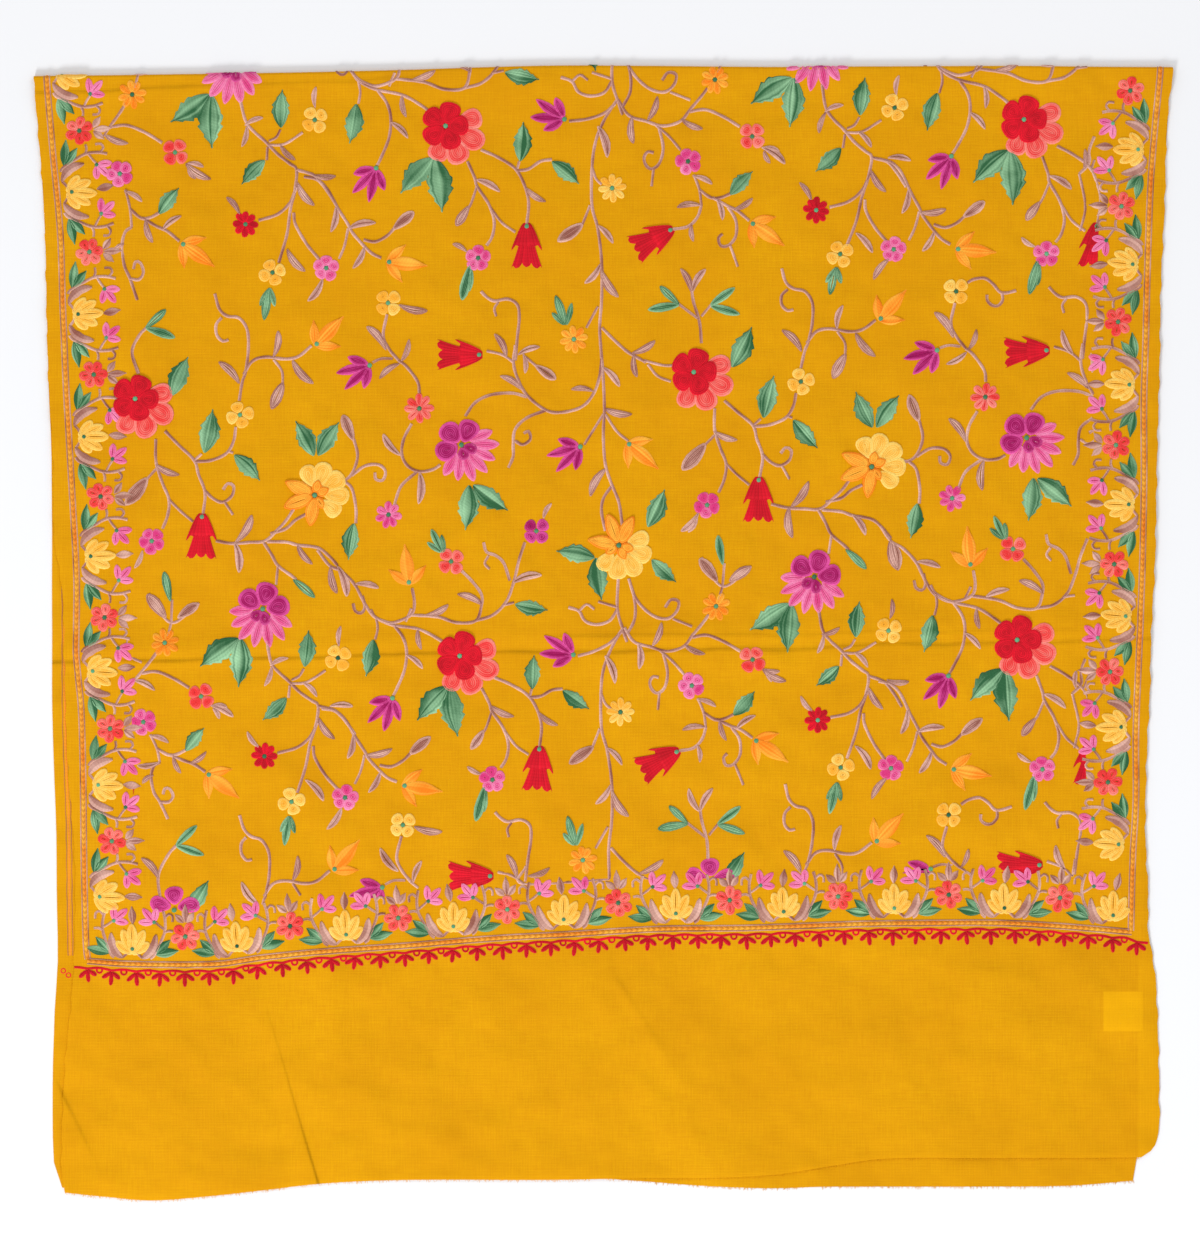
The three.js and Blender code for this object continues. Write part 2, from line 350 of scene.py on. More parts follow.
def ringPetal(  # rows of chain stitch that follow the petal's outline inwards
    yarn, base, angle, length, width, egg=0.25, point=0.0, rim=0.7, inner=0.35, lift=0.0, sides=18, bow=0.0
):
    base = np.asarray(base, float)
    ahead, beside = heading(angle), heading(angle + 90)
    turn = np.linspace(0, 2 * math.pi, sides, endpoint=False)
    wobble = 1 + stitch["wobble"] * np.sin(3 * turn + chance.uniform(0, 6))
    half, pitch = width / 2, stitch["pitch"]
    rings = max(int(round(width / pitch)), 2)
    ripple = chance.uniform(0, 6)
    grid, heights, tones, along = [], [], [], []
    for ring in range(rings + 1):
        inset = min(ring * pitch / 2, half)
        a = (length / 2 - inset) * wobble
        b = max(half - inset, 0) * wobble
        front = np.clip(np.cos(turn), 0, 1)
        across = b * np.sin(turn) * (1 + egg * np.cos(turn)) * (1 - point * front**2)
        across = across + bow * length * (1 - (2 * a * np.cos(turn) / length) ** 2)
        centre = base + ahead * length / 2
        grid.append(centre + np.outer(a * np.cos(turn), ahead) + np.outer(across, beside))
        level = stitch["crest"] if ring % 2 else stitch["groove"]
        level = level + (lift + stitch["doming"] * min(ring, 4)) if ring else stitch["edge"]
        heights.append(np.full(sides, level))
        shade = rim if ring < 3 else inner + 0.15 * (ring % 4 == 3)
        # the grooves between rows get painted shade
        shade = shade - (0.0 if ring % 2 else stitch["paintedGrooveShade"])
        tones.append(shade + 0.08 * chance.uniform(-1, 1) + 0.12 * np.sin(turn * 2 + ripple + 0.5 * ring))
        along.append(turn / (2 * math.pi) * (length + width) * 1.5)
        if half - inset <= 0:
            break
    addRows(yarn, np.array(grid), np.array(heights), np.array(tones), np.array(along), loop=True)


def rowLeaf(  # rows of chain stitch that run from the stalk to the tip
    yarn, base, tip, width, rows=4, shades=(0.35, 0.7), teeth=0.0, bow=0.0, blunt=0.8, lift=0.0, steps=9
):
    base, tip = np.asarray(base, float), np.asarray(tip, float)
    length = np.linalg.norm(tip - base)
    ahead = (tip - base) / length
    beside = np.array([ahead[1], -ahead[0]])
    t = np.linspace(0, 1, steps + 1)[:, None]
    q = np.linspace(-1, 1, 2 * rows + 1)[None, :]
    full = np.clip(t * 1.06, 0, 1) ** 1.08
    profile = np.maximum(np.sin(math.pi * full) ** blunt * (1 - 0.4 * t**3), stitch["leastReach"])
    saw = (t * 5.0) % 1.0
    reach = profile * (1 + teeth * smoothStep(0.25, 0.5, t) * (0.55 - saw) * np.abs(q) ** 2)
    beyond = bow * length * np.sin(math.pi * t)
    runs = t * length - 0.08 * teeth * length * np.abs(q) * t
    points = base + runs[..., None] * ahead + (q * reach * width / 2 + beyond)[..., None] * beside
    column = np.arange(2 * rows + 1)[None, :]
    crest = np.where(column % 2 == 1, stitch["crest"], stitch["groove"]) + lift
    crest = np.where(np.abs(q) == 1, stitch["edge"], crest)
    heights = np.broadcast_to(crest, reach.shape).copy()
    heights[0], heights[-1] = stitch["edge"], stitch["edge"]
    # random tone per row, with painted shade in the grooves between rows
    perRow = chance.uniform(-0.3, 0.3, 2 * rows + 1)[None, :] - 0.25 * (column % 2 == 0)
    tones = np.where(q < 0, shades[0], shades[1]) + perRow + 0.12 * np.sin(t * 5 + chance.uniform(0, 6))
    addRows(yarn, points, heights, tones, t * length + column * 0.7)


def smoothPath(points, step):
    points = np.asarray(points, float)
    if len(points) == 2:
        count = max(int(np.linalg.norm(points[1] - points[0]) / step), 2)
        return points[0] + np.linspace(0, 1, count + 1)[:, None] * (points[1] - points[0])
    padded = np.vstack([2 * points[0] - points[1], points, 2 * points[-1] - points[-2]])
    pieces = []
    for i in range(len(points) - 1):
        a, b, c, d = padded[i : i + 4]
        count = max(int(round(np.linalg.norm(c - b) / step)), 1)
        t = np.arange(count)[:, None] / count
        square, cube = 2 * a - 5 * b + 4 * c - d, 3 * b - a - 3 * c + d
        pieces.append(0.5 * (2 * b + (c - a) * t + square * t**2 + cube * t**3))
    return np.vstack(pieces + [points[-1:]])


def stemRows(  # rows of chain stitch side by side along a path
    yarn, points, width=3.0, rows=2, shades=(0.3, 0.65), height=None, step=None, slant=0.0, swell=0.0
):
    path = smoothPath(points, step or stitch["step"])
    ahead = np.gradient(path, axis=0)
    ahead /= np.maximum(np.linalg.norm(ahead, axis=1), 1e-6)[:, None]
    beside = np.stack([ahead[:, 1], -ahead[:, 0]], axis=1)
    q = np.linspace(-1, 1, 2 * rows + 1)
    share = np.linspace(0, 1, len(path))
    reach = width / 2 * (1 + 0.07 * np.sin(share * len(path) * 1.3 + chance.uniform(0, 6)))
    reach = reach * (1 - swell * (1 - np.sin(math.pi * share) ** 0.7))
    grid = path[:, None, :] + (reach[:, None] * q[None, :])[..., None] * beside[:, None, :]
    column = np.arange(2 * rows + 1)
    crest = height or stitch["crest"]
    level = np.where(column % 2 == 1, crest, crest * 0.45)
    level = np.where(np.abs(q) == 1, stitch["edge"], level)
    run = np.cumsum(np.concatenate([[0], np.linalg.norm(np.diff(path, axis=0), axis=1)]))
    dye = 0.16 * np.sin(run / 17 + chance.uniform(0, 6))
    dye = dye + 0.08 * np.sin(run / 5.1 + chance.uniform(0, 6))
    shade = np.where(q <= 0, shades[0], shades[1])
    along = run[:, None] + slant * np.abs(q)
    addRows(yarn, grid, level[None, :] + 0 * share[:, None], shade[None, :] + dye[:, None], along)


knotRings = {"radius": (1.0, 0.8, 0.4, 0.02), "height": (0.2, 0.75, 1.0, 1.05), "base": 0.45}


def knot(centre, radius, lift=0.9, shade=None):
    turn = np.linspace(0, 2 * math.pi, 8, endpoint=False)
    ring = np.stack([np.cos(turn), np.sin(turn)], axis=1)
    grid = np.array([np.asarray(centre, float) + ring * radius * s for s in knotRings["radius"]])
    tone = chance.uniform(0.1, 0.9) if shade is None else shade
    heights = np.array(knotRings["height"])[:, None] * lift + knotRings["base"] + 0 * turn
    addRows("teal", grid, heights, np.full(heights.shape, tone), turn + 0 * heights, loop=True)


print("stitch tools ready")


# flowers, each about its own centre

petalRows = {  # heading, reach and width of each petal, in degrees and millimetres
    "peonyOuter": ((13, 35, 18), (-27, 39, 20), (-68, 38, 20), (-107, 34, 18)),
    "purpleShort": ((150, 15, 11), (205, 16, 11)),
    "purpleRound": ((-68, 25, 19), (0, 25, 20), (68, 25, 19)),
    "yellowBroad": ((-72, 29, 15), (-36, 32, 16.5), (0, 33, 17), (36, 32, 16.5), (72, 29, 15)),
    "yellowNarrow": (
        (120, 30, 13.5), (166, 31, 14), (226, 29, 13), (270, 15, 9), (40, 15, 10), (-10, 15, 10),
    ),
    "tulip": ((48, 22, 9.5), (-48, 22, 9.5), (16, 32, 9.6), (-15, 32, 9.6)),
    "orangeTulip": ((48, 24, 10), (-48, 24, 10), (0, 38, 14)),
    "lotus": ((52, 19.5, 9.6), (-52, 19.5, 9.6), (26, 25, 10.4), (-26, 25, 10.4), (0, 28.5, 10.8)),
    "pinkBud": ((-50, 13.5, 7.2), (0, 16.5, 7.2), (50, 14.5, 7.2)),
    "hemBloom": ((-80, 24, 15), (0, 20, 17), (76, 23, 15)),
}


def petalFan(yarn, centre, turn, petals, start, **look):  # the petals begin a little off the centre
    for offset, far, wide in petals:
        angle = turn + offset
        ringPetal(yarn, centre + heading(angle) * start, angle, far - start, wide, **look)


def roundFlower(yarn, centre, petals, radius, width, turn=0, tones=(0.7, 0.3), inset=0.12):
    for i in range(petals):
        angle = turn + 360 * i / petals + chance.uniform(-5, 5)
        base = np.asarray(centre, float) + heading(angle) * radius * inset
        shift = chance.uniform(-0.3, 0.3)
        ringPetal(
            yarn, base, angle, radius * (1 - inset) * chance.uniform(0.94, 1.04), width,
            rim=tones[0] + shift, inner=tones[1] + shift, lift=0.03 * (i % 3), sides=12,
        )
    knot(centre, 2.1)


def peony(centre, turn):
    petalFan("coral", centre, turn, petalRows["peonyOuter"], 9, egg=0.42, rim=0.88, inner=0.42)
    for i, offset in enumerate((72, 144, 216, 288, 0)):
        far = 20.5 + chance.uniform(-1, 1.5)
        ringPetal(
            "red", centre + heading(turn + offset) * 1.5, turn + offset, far, 18.5,
            egg=0.42, rim=0.75, inner=0.6, lift=0.55 + 0.06 * i, sides=20,
        )
    knot(centre, 2.4, lift=1.6, shade=0.9)


def purpleBloom(centre, turn):
    for i in range(-3, 4):
        petal = (180 + i * 24, 36 - 0.5 * i**2 + chance.uniform(-1.5, 1.5), 10.4)
        petalFan("pink", centre, turn, [petal], 8, egg=0.2, point=0.45, rim=0.85, inner=0.5, sides=14)
    petalFan("purple", centre, turn, petalRows["purpleShort"], 2, rim=0.6, inner=0.2, lift=0.3, sides=12)
    petalFan("purple", centre, turn, petalRows["purpleRound"], 3, egg=0.3, rim=0.9, lift=0.5)
    knot(centre, 2.4, lift=1.6)


def yellowBloom(centre, turn):
    petalFan("yellow", centre, turn, petalRows["yellowBroad"], 8, egg=0.45, rim=0.95, inner=0.6, lift=0.2)
    petalFan(
        "orange", centre, turn, petalRows["yellowNarrow"], 2,
        egg=-0.05, point=0.45, rim=0.45, inner=0.8, lift=0.7, sides=16,
    )
    knot(centre, 2.4, lift=1.6)


def tulip(centre, turn):
    for petal in petalRows["tulip"]:
        shift = chance.uniform(-0.12, 0.12)
        petalFan(
            "purple", centre, turn, [petal], 1.5,
            egg=0.08, point=0.55, rim=0.85 + shift, inner=0.3 + shift, lift=0.05, sides=14,
        )
    knot(centre, 2.3, lift=1.1, shade=0.8)


def orangeTulip(centre, turn):
    for offset, far, wide in petalRows["orangeTulip"]:
        ahead = heading(turn + offset)
        rowLeaf(
            "orange", centre + heading(turn + offset + 180) * 1.5, centre + ahead * far, wide,
            shades=(0.6, 0.4), lift=0.1 if far > 30 else 0, steps=8,
        )
    knot(centre + heading(turn) * 2, 2.3, lift=1.0, shade=0.7)


# tiers: from, to, half width at each end, rows, how far the corners reach, lobes, widening, lift
bellRows = {
    "size": 1.08,
    "tiers": ((16, 35.5, 6.2, 14.0, 9, 3.2, 3.5, 1.2, 0), (0, 18.5, 2.6, 14.0, 8, 4.6, 1.5, 0.75, 0.45)),
}


def bell(tip, turn):  # opens along turn
    size = bellRows["size"]
    ahead, beside = heading(turn), heading(turn - 90)
    for start, end, narrow, wide, rows, corner, lobes, widening, lift in bellRows["tiers"]:
        q = np.linspace(-1, 1, 4 * rows + 1)[None, :]
        t = np.linspace(0, 1, 9)[:, None]
        lobed = 4.4 * np.abs(np.cos(q * math.pi * lobes / 2)) ** 0.6
        edge = end - 1.6 + corner * np.abs(q) ** 2.2 + lobed
        run = (start + (edge - start) * t) * size
        reach = (narrow + (wide - narrow) * t**widening) * size
        points = tip + run[..., None] * ahead + (q * reach)[..., None] * beside
        column = np.arange(4 * rows + 1)[None, :]
        ridge = np.array([0, 0.7, 1, 0.7])[column % 4]
        level = stitch["groove"] + (stitch["crest"] - stitch["groove"]) * ridge + lift
        level = np.where(np.abs(q) == 1, stitch["edge"], level)
        heights = np.broadcast_to(level, run.shape).copy()
        heights[0], heights[-1] = stitch["edge"], stitch["edge"]
        perRow = np.repeat(chance.uniform(-0.15, 0.15, rows + 1), 4)[: 4 * rows + 1][None, :]
        # painted shade in the groove at each fourth row
        tones = 0.4 + perRow - 0.2 * (column % 4 == 0) + 0 * run
        addRows("red", points, heights, tones, run + 0 * q)
    knot(tip + ahead * 3.5, 2.3, lift=1.5, shade=0.8)


def lotus(centre, turn):
    for offset, far, wide in petalRows["lotus"]:
        ringPetal(
            "yellow", centre, turn + offset + chance.uniform(-3, 3), far, wide,
            egg=0.2, point=0.25, rim=0.85, inner=0.5, lift=0.25 - abs(offset) / 250, sides=14,
        )
    knot(centre + heading(turn) * 5, 2.1, lift=1.3)


def pinkBud(centre, turn):
    for petal in petalRows["pinkBud"]:
        shift = chance.uniform(-0.25, 0.2)
        petalFan(
            "pink", centre, turn, [petal], 0,
            egg=0.15, point=0.3, rim=0.85 + shift, inner=0.55 + shift, lift=0.05, sides=12,
        )
    knot(centre, 1.9, lift=0.9)


print("flower patterns ready")


# the field's repeat, charted in squares from the corner of each quarter, y downwards

field = {
    "square": 1.7602,  # side of one chart square
    "acrossPeriod": 0.5235,  # share of the width between the two side braids
    "downPeriod": 482,
    "sideMargin": 44,  # nearest that a field motif comes to a side braid
    "hemMargin": 44,
    "sideCut": 46,  # where a motif is cut off by the border
    "hemCut": 46,
    "pastFold": 45,  # how far past the fold a motif is kept
    "underHeight": 0.08,
    "overHeight": 0.5,
    "overBorder": ((-426, 214, 37), (-447, 420, 17)),  # these blooms lie over the border's stitches
    "cell": 1.6,  # side of the squares in which the border's cover is noted
    "cells": 700,
    "cellStart": 560,
    "copySpread": {-1: 0.008, 0: 0.0, 1: 0.004},  # how far copies lean sideways towards the hem
    "spreadFrom": 500,
    "spreadOver": 600,
    "roomBeside": {"peony": 6, "purpleBloom": 16, "yellowBloom": 16, "bell": -4},
    "roomBelow": {"peony": 40, "purpleBloom": 40, "yellowBloom": 40},
    "stemWidth": 2.9,
    "shortStem": 0.85,  # narrower where a stem has fewer than four points
}
copyDrift = [  # how far a copy's motifs stray: copies across and down, x, y, shift, spread, millimetres
    (-1, 0, -451, 415, 6, 7, 35),
    (1, 1, 317, -168, -6, -11, 50),
    (-1, 0, -429, 214, 3, 0, 35),
    (-1, 0, -334, 360, -1, 12.5, 100),
    (-1, 0, -426, 214, 0, 8, 60),
    (1, 0, 365, 190, 0, -9, 150),
    (1, 0, 383, 380, -2, -6, 110),
    (1, 0, 323, 306, 0, -4, 50),
    (-1, 1, -311, -117, -6, 8, 70),
    (-1, 1, -380, -195, 6, 14, 60),
    (0, 1, -95, -135, 5, 3, 150),
    (0, 1, 89, -200, 5, 4, 90),
    (0, 1, 199, -98, 3, 13, 70),
    (0, 1, -39, -14, 0, -8, 40),
]
fieldChart = {
    "rightOnly": {
        "corner": (-251.6, 527.2),
        "stems": [
            [(36.5, 122), (40, 120), (45.5, 119.2), (50, 122), (53.4, 125.7), (57, 126), (61.9, 124.4)],
            [(54.7, 126.3), (55, 130), (52.6, 133), (49.5, 132.9), (47, 130.5), (46.8, 127.6)],
            [(91.9, 60.6), (96.4, 77), (94.5, 90)], [(91.9, 60.6), (96.4, 54.8), (95.8, 48.2), (97.8, 41)],
        ],
        "mauveLeaves": [(93.8, 57, 93.4, 47.5), (96.4, 47, 104, 46.3)],
    },
    "upperLeft": {
        "corner": (-251.6, 527.2),
        "stems": [
            [(12, 6.5), (15, 11), (24, 15.5), (38, 18.5), (48, 24), (52, 27)], [(31, 14), (34, 7)],
            [(15, 11), (16, 17), (15, 23)], [(25, 16), (30, 23), (32, 31), (31, 41), (27, 51), (25, 55)],
            [(150, 21), (144, 30), (139, 42), (137, 56), (137, 76), (140, 88), (142, 106), (142, 125),
             (141, 140), (142, 156)], [(125, 32), (134, 31), (143, 28), (149, 23)],
            [(137, 56), (139, 62), (142, 65)], [(136, 76), (132, 86)], [(134, 140), (140, 129)],
            [(79, 47), (88, 51), (97, 57), (102, 66), (104, 75), (103, 86)], [(98, 57), (99, 53)],
            [(98, 58), (104, 57), (110, 53), (116, 52)],
            [(72, 53), (76, 62), (77, 66), (83, 75), (86, 84), (85, 92), (82, 97)],
            [(77, 66), (74, 75), (72, 78)], [(84, 77), (90, 85), (97, 90)], [(-13, 61), (-7, 62.2),
             (-2.5, 65.5), (1, 70.5), (5, 78), (10, 86), (12, 90), (17, 96), (22, 101), (27, 103.5)],
            [(18, 94), (24, 95), (30, 92), (34, 88)], [(10, 88), (8, 97), (5, 104)],
            [(30, 133), (28, 144), (31, 151), (36, 157)],
            [(79, 121), (82, 124), (86, 126), (93, 125), (98, 128), (99, 135), (98, 145), (97, 157)],
            [(88, 126.5), (86, 130), (87, 134)],
        ],
        "mauveLeaves": [
            (32, 33, 41, 41), (38, 19, 40, 30), (140, 35, 145, 51), (140, 87, 148, 96),
            (141, 107, 133, 117), (142, 110, 151, 124), (103, 67, 113, 74), (77, 63, 89, 69),
            (71, 100, 64, 96), (29, 151, 19, 139), (37.5, 157, 41.5, 146), (3.5, 77, 1, 90),
            (11, 88, 24.5, 85), (18, 98, 12, 109), (92, 155, 86, 143), (99, 154, 110, 150),
            (-8, 60, 3.8, 60.5),
        ],
        "budLeaves": [(132, 86, 119, 95), (72.5, 77, 66, 87), (34, 88, 44.5, 79)],
        "greenLeaves": [
            (54, 51, 37, 70), (55, 51, 59, 80), (99.5, 53, 101, 32), (116, 53, 130.5, 65),
            (14, 23, 10.5, 44),
        ],
        "smallGreens": [
            (73, 108, 69, 126), (74, 110, 73, 121), (123, 138, 118, 123), (124, 138, 126.5, 127),
            (122, 138, 116, 132),
        ],
        "flowers": [
            ("peony", 60.5, 34.5, 0), ("bell", 103, 85, -93), ("pinkRound", 77.5, 103.5, 20),
            ("tulip", 24.5, 56.5, -121), ("tulip", 122.5, 31, 160), ("yellowDaisy", 147.5, 67, 0),
            ("orangeTulip", 30, 105.5, -7), ("yellowRound", 30.5, 127, 45), ("orangeDaisy", 127.5, 146, 10),
        ],
    },
    "leftOnly": {
        "corner": (-3.2, 527.2),
        "stems": [
            [(53, 76), (49.5, 78), (47.6, 84.3), (48.3, 93.5), (50.9, 100), (54.2, 110.5)],
            [(50.9, 100), (55.5, 100.7), (58.1, 97.4), (56.8, 92.8), (54.2, 92.2), (53, 95.5)],
            [(51.6, 150), (49.7, 138), (54.2, 128.9), (58.2, 124.9)],
        ],
        "mauveLeaves": [(48.3, 83.7, 42.4, 87.6), (49.7, 139, 40.5, 128.2)],
        "smallGreens": [(58.4, 124.5, 69.3, 115.5), (58.4, 125, 73.3, 129.8)],
    },
    "middleAndRight": {
        "corner": (-3.2, 527.2),
        "stems": [
            [(53, 76), (51, 82), (46, 87), (38, 88.5)],
            [(67, 77), (71, 84), (71, 92), (67, 97), (63, 97), (62, 93), (64, 91)], [(68, 97), (72, 108)],
            [(53, 148), (52, 137), (49, 127), (48, 121)], [(51, 135), (41, 127.5)], [(53, 134), (58, 128)],
        ],
        "mauveLeaves": [(48, 86, 49, 95), (47.5, 121, 42, 109), (48.5, 121, 55.5, 109)],
        "smallGreens": [
            (41, 127.5, 31, 118), (41, 128, 25, 130.5), (58, 128, 70.5, 119), (58, 128.5, 73, 133),
        ],
    },
    "leftAndMiddle": {
        "corner": (-251.6, 527.2),
        "mauveLeaves": [(37, 128, 51.5, 131)],
    },
    "upperRight": {
        "corner": (-3.2, 527.2),
        "stems": [
            [(9.5, 21), (15, 29), (24, 32), (33, 34.5), (42, 32), (47, 26), (53, 19), (56, 15)],
            [(47, 27), (55, 26), (64, 29.5), (73, 35)], [(29, 34), (36, 40), (42, 47)],
            [(31, 36), (33, 46), (31, 54), (27, 57), (24, 55), (23, 51), (25, 48), (28, 48.5)],
            [(28, 57), (27, 66)], [(49, 60), (52, 68), (53, 76)], [(52, 68), (58, 72), (63, 72), (68, 70)],
            [(59, 72), (66, 76), (72, 79), (78, 84)], [(116, 13), (118, 25), (122, 31), (127, 36),
             (133, 43), (139, 48), (142, 51), (140, 62), (137, 71), (134, 84), (129, 97)],
            [(129, 36), (133, 34), (135.5, 30)], [(129, 38), (137, 37.5), (147, 31.5)],
            [(142, 51), (148, 52.5), (151.2, 54), (156, 60), (160, 66.4)], [(128, 39), (127, 46)],
            [(120, 77), (130, 74), (137, 68), (141, 60)], [(138.5, 73), (139, 79), (144, 88), (150, 95)],
            [(95, 109), (97, 116), (101, 119.5), (107, 121), (111, 127), (111, 137), (109, 147), (107, 152),
             (105, 161)], [(98, 120), (95, 123), (95, 128), (98, 131), (101, 130.5)],
            [(108, 148), (113, 142), (120, 140.5), (130, 142), (137, 141), (144, 136)],
            [(124, 142), (128, 148), (128, 155)], [(1, 140), (8, 147), (15, 153), (24, 158)],
        ],
        "mauveLeaves": [
            (17, 30, 17.5, 44), (25, 31, 30, 19), (43, 31, 54, 36), (49, 61, 59, 65), (52, 76, 40, 77),
            (61, 73, 64, 84), (70, 78, 80, 72), (85, 46, 97, 54.5), (86, 46, 94, 48), (86, 48, 89, 54),
            (118, 27, 127.5, 23.5), (118, 28, 114.5, 38.5), (135, 38, 142, 46), (142, 58, 149.5, 69),
            (110, 73, 104, 64), (134, 91, 142.5, 101), (151, 104.5, 143, 115), (124, 140, 127, 128),
            (105, 152, 95, 141), (134, 143, 144, 155), (17, 153, 29, 146.5), (155, 18, 156.2, 8),
        ],
        "greenLeaves": [(68, 70.5, 80, 58), (136, 29, 138.5, 9), (126, 46, 112.5, 58.5)],
        "smallGreens": [(123, 109, 118, 116.5), (123, 109, 120, 123), (124, 109, 126, 117)],
        "flowers": [
            ("orangeDaisy", 60, 10.5, 15), ("coralRound", 79.5, 40, 50), ("pinkRound", 46, 53, 40),
            ("bell", 38.5, 88, 207), ("orangeTulip", 79, 85, -36), ("redDaisy", 113, 78.5, 0),
            ("yellowRound", 125.5, 101.5, 20), ("pinkRound", 153.5, 99, 10), ("yellowRound", 154, 25, 30),
            ("orangeTulip", 146, 136, 48),
        ],
    },
    "lowerLeft": {
        "corner": (-251.6, 278.8),
        "stems": [
            [(36, 16), (40, 19), (46, 27), (47, 33)], [(33, 15), (27, 15), (22.5, 17)],
            [(43, 49), (39, 57), (38, 65), (41, 71), (47, 74), (54, 73), (58, 70.5)],
            [(46, 74), (38, 81), (35, 88), (34, 92)], [(13, 57), (15, 66), (12, 75), (7.5, 79), (4, 79)],
            [(12, 76), (19, 71), (26, 70.5), (29.5, 74), (28, 78.5), (24.5, 78), (24, 74.5)],
            [(8, 79), (12, 83), (14, 93), (14, 101)], [(-6, 115), (0, 123), (6, 126), (13, 133), (18, 143),
             (22, 149), (27, 152), (33, 153), (42, 149), (44, 143), (43, 135)],
            [(17, 139), (18, 145), (16, 148), (13, 147), (12, 143)],
            [(42, 149), (56, 150), (66, 153), (76, 152), (79, 144), (79, 138), (74, 131), (69, 126)],
            [(76, 152), (85, 149), (92, 142), (96, 132), (99, 120), (102, 111)],
            [(94, 131), (91, 122), (87, 118), (82, 116), (80.5, 111)], [(83, 118), (81, 122), (83.5, 125)],
            [(90, 144), (96, 142.5)], [(82, 11), (90, 13), (96, 17)], [(97, 8), (96, 17), (98, 25),
             (103, 34), (113, 42), (122, 43), (132, 40), (138, 33), (141, 24), (142, 15)],
            [(102, 14), (108, 19)], [(103, 35), (95, 33), (84, 34), (76, 38), (71, 45)],
            [(113, 42), (103, 46), (97, 52), (96, 60), (96, 66), (93.5, 72)],
            [(97, 58), (101, 60), (105, 57), (104, 53), (101.5, 54)],
            [(142, 14), (143, 28), (143.5, 42), (143, 55), (144, 70), (147, 80), (151, 90), (153, 103)],
            [(147, 82), (143, 88), (142, 95), (144, 105)], [(143, 44), (138, 52), (133, 60)],
            [(144, 44), (150, 53), (156, 58)],
            [(124.5, 145), (130, 147), (133, 152), (139, 154), (146, 152), (150, 146)],
            [(130, 147), (134, 143.5), (138, 146)],
        ],
        "mauveLeaves": [
            (36, 18, 26, 25.5), (37, 65, 28, 54), (47, 75, 46.5, 91), (14, 133, 26, 135), (1, 124, 4, 138),
            (79, 143.5, 66.5, 138), (50, 149, 62, 143.5), (112, 98, 116, 90.5), (96, 132, 111, 128),
            (101, 13, 102, 23), (100, 31, 89, 24), (137, 32, 126, 31), (142.5, 20, 151.5, 30),
            (144, 41, 158, 44), (144, 73, 136, 87),
        ],
        "budLeaves": [(12.5, 57, 7, 44), (108, 19, 118.5, 26)],
        "greenLeaves": [
            (13, 101, 10, 120.5), (96.5, 143.5, 114, 146.5), (73, 81, 71, 105), (75, 81, 93.5, 94.5),
            (138.5, 119, 118, 115.5), (139, 119, 142, 141.5),
        ],
        "smallGreens": [(59, 116, 53, 104), (60, 116, 58.5, 107), (58, 116, 51, 111)],
        "flowers": [
            ("tulip", 21, 18.5, 209), ("coralDaisy", 47, 41, 0), ("purpleBloom", 69, 60, 132),
            ("pinkDaisy", 31, 96.5, 0), ("orangeTulip", 41.5, 133, 95), ("coralRound", 63.5, 121, 40),
            ("purpleRound", 108, 105, 45), ("bell", 80, 13, 182), ("tulip", 131, 61, 210),
            ("yellowBloom", 151, 112.5, -58),
        ],
    },
    "lowerRight": {
        "corner": (-3.2, 278.8),
        "stems": [
            [(23, 16), (33, 18.5), (40, 18.5)], [(25, 18), (30, 24), (37, 27)],
            [(65, 37), (72, 43), (80, 50), (82, 57), (85, 66), (83.5, 77)], [(80, 50), (84, 46.5)],
            [(81, 50.5), (89, 49.5), (97, 46), (101, 40), (102.5, 33)], [(98, 45), (100.5, 46)],
            [(85, 65), (89, 69), (94, 71), (99, 68), (100, 63), (97, 61.5), (94.5, 64.5)],
            [(95, 71), (99, 78)], [(60, 41), (60, 52), (63, 62), (66, 70), (65, 78), (62, 85)],
            [(60, 55), (55, 60)], [(66, 70), (72, 76), (78, 81)],
            [(89.5, 91), (98, 93), (107, 93.5), (115, 93.5), (122, 88), (127, 83), (132, 76)],
            [(118, 90), (126, 88), (131, 84), (137, 81)],
            [(114, 94), (118, 101), (121, 107), (128, 113), (130, 115)], [(121, 107), (119.5, 117)],
            [(116, 94), (126, 95), (132, 97), (142, 99), (148, 104), (152, 109)], [(64, 134), (65, 122)],
            [(62, 141), (64, 134)], [(53, 119), (64, 134), (79, 123.5)],
            [(15, 130), (19, 141), (27, 149), (35, 151), (40, 147), (41, 142), (37, 141), (34, 145)],
            [(38, 151), (48, 155)], [(9.5, 130), (9, 146), (12, 157), (14, 163)],
            [(15, 130), (18, 141), (18, 151), (14, 159)], [(-1, 142), (9, 145)],
        ],
        "mauveLeaves": [
            (18, 13, 19.5, 25), (60, 53, 72, 57.5), (51, 96, 42, 105.5), (50.5, 97, 46, 106),
            (100, 92, 109, 79), (99, 93, 100.5, 109), (132, 97, 139, 107.5), (152, 110, 156, 126),
        ],
        "budLeaves": [(55, 60, 43, 73.5), (128, 13, 121.5, 25.5), (61, 131, 52, 119), (68, 131, 79, 123.5)],
        "greenLeaves": [
            (69, 19.5, 79.5, -2), (85.5, 46, 91, 23.5), (101, 47, 114, 62), (25, 103, 34, 83),
            (27, 120, 40, 132), (142.5, 51, 133.5, 32), (144.5, 51, 156.5, 34), (99, 143, 78, 157),
            (100, 143, 98, 169),
        ],
        "smallGreens": [(129, 115, 139.5, 125), (64, 122, 61.5, 107)],
        "flowers": [
            ("peony", 49, 22, 0), ("bell", 83, 76.5, -90), ("yellowRound", 105, 27, 20),
            ("pinkRound", 56, 91.5, 45), ("purpleBloom", 112, 129, 76), ("yellowBloom", 142, 71.5, 37),
            ("orangeTulip", 14.5, 59, -38),
        ],
    },
}
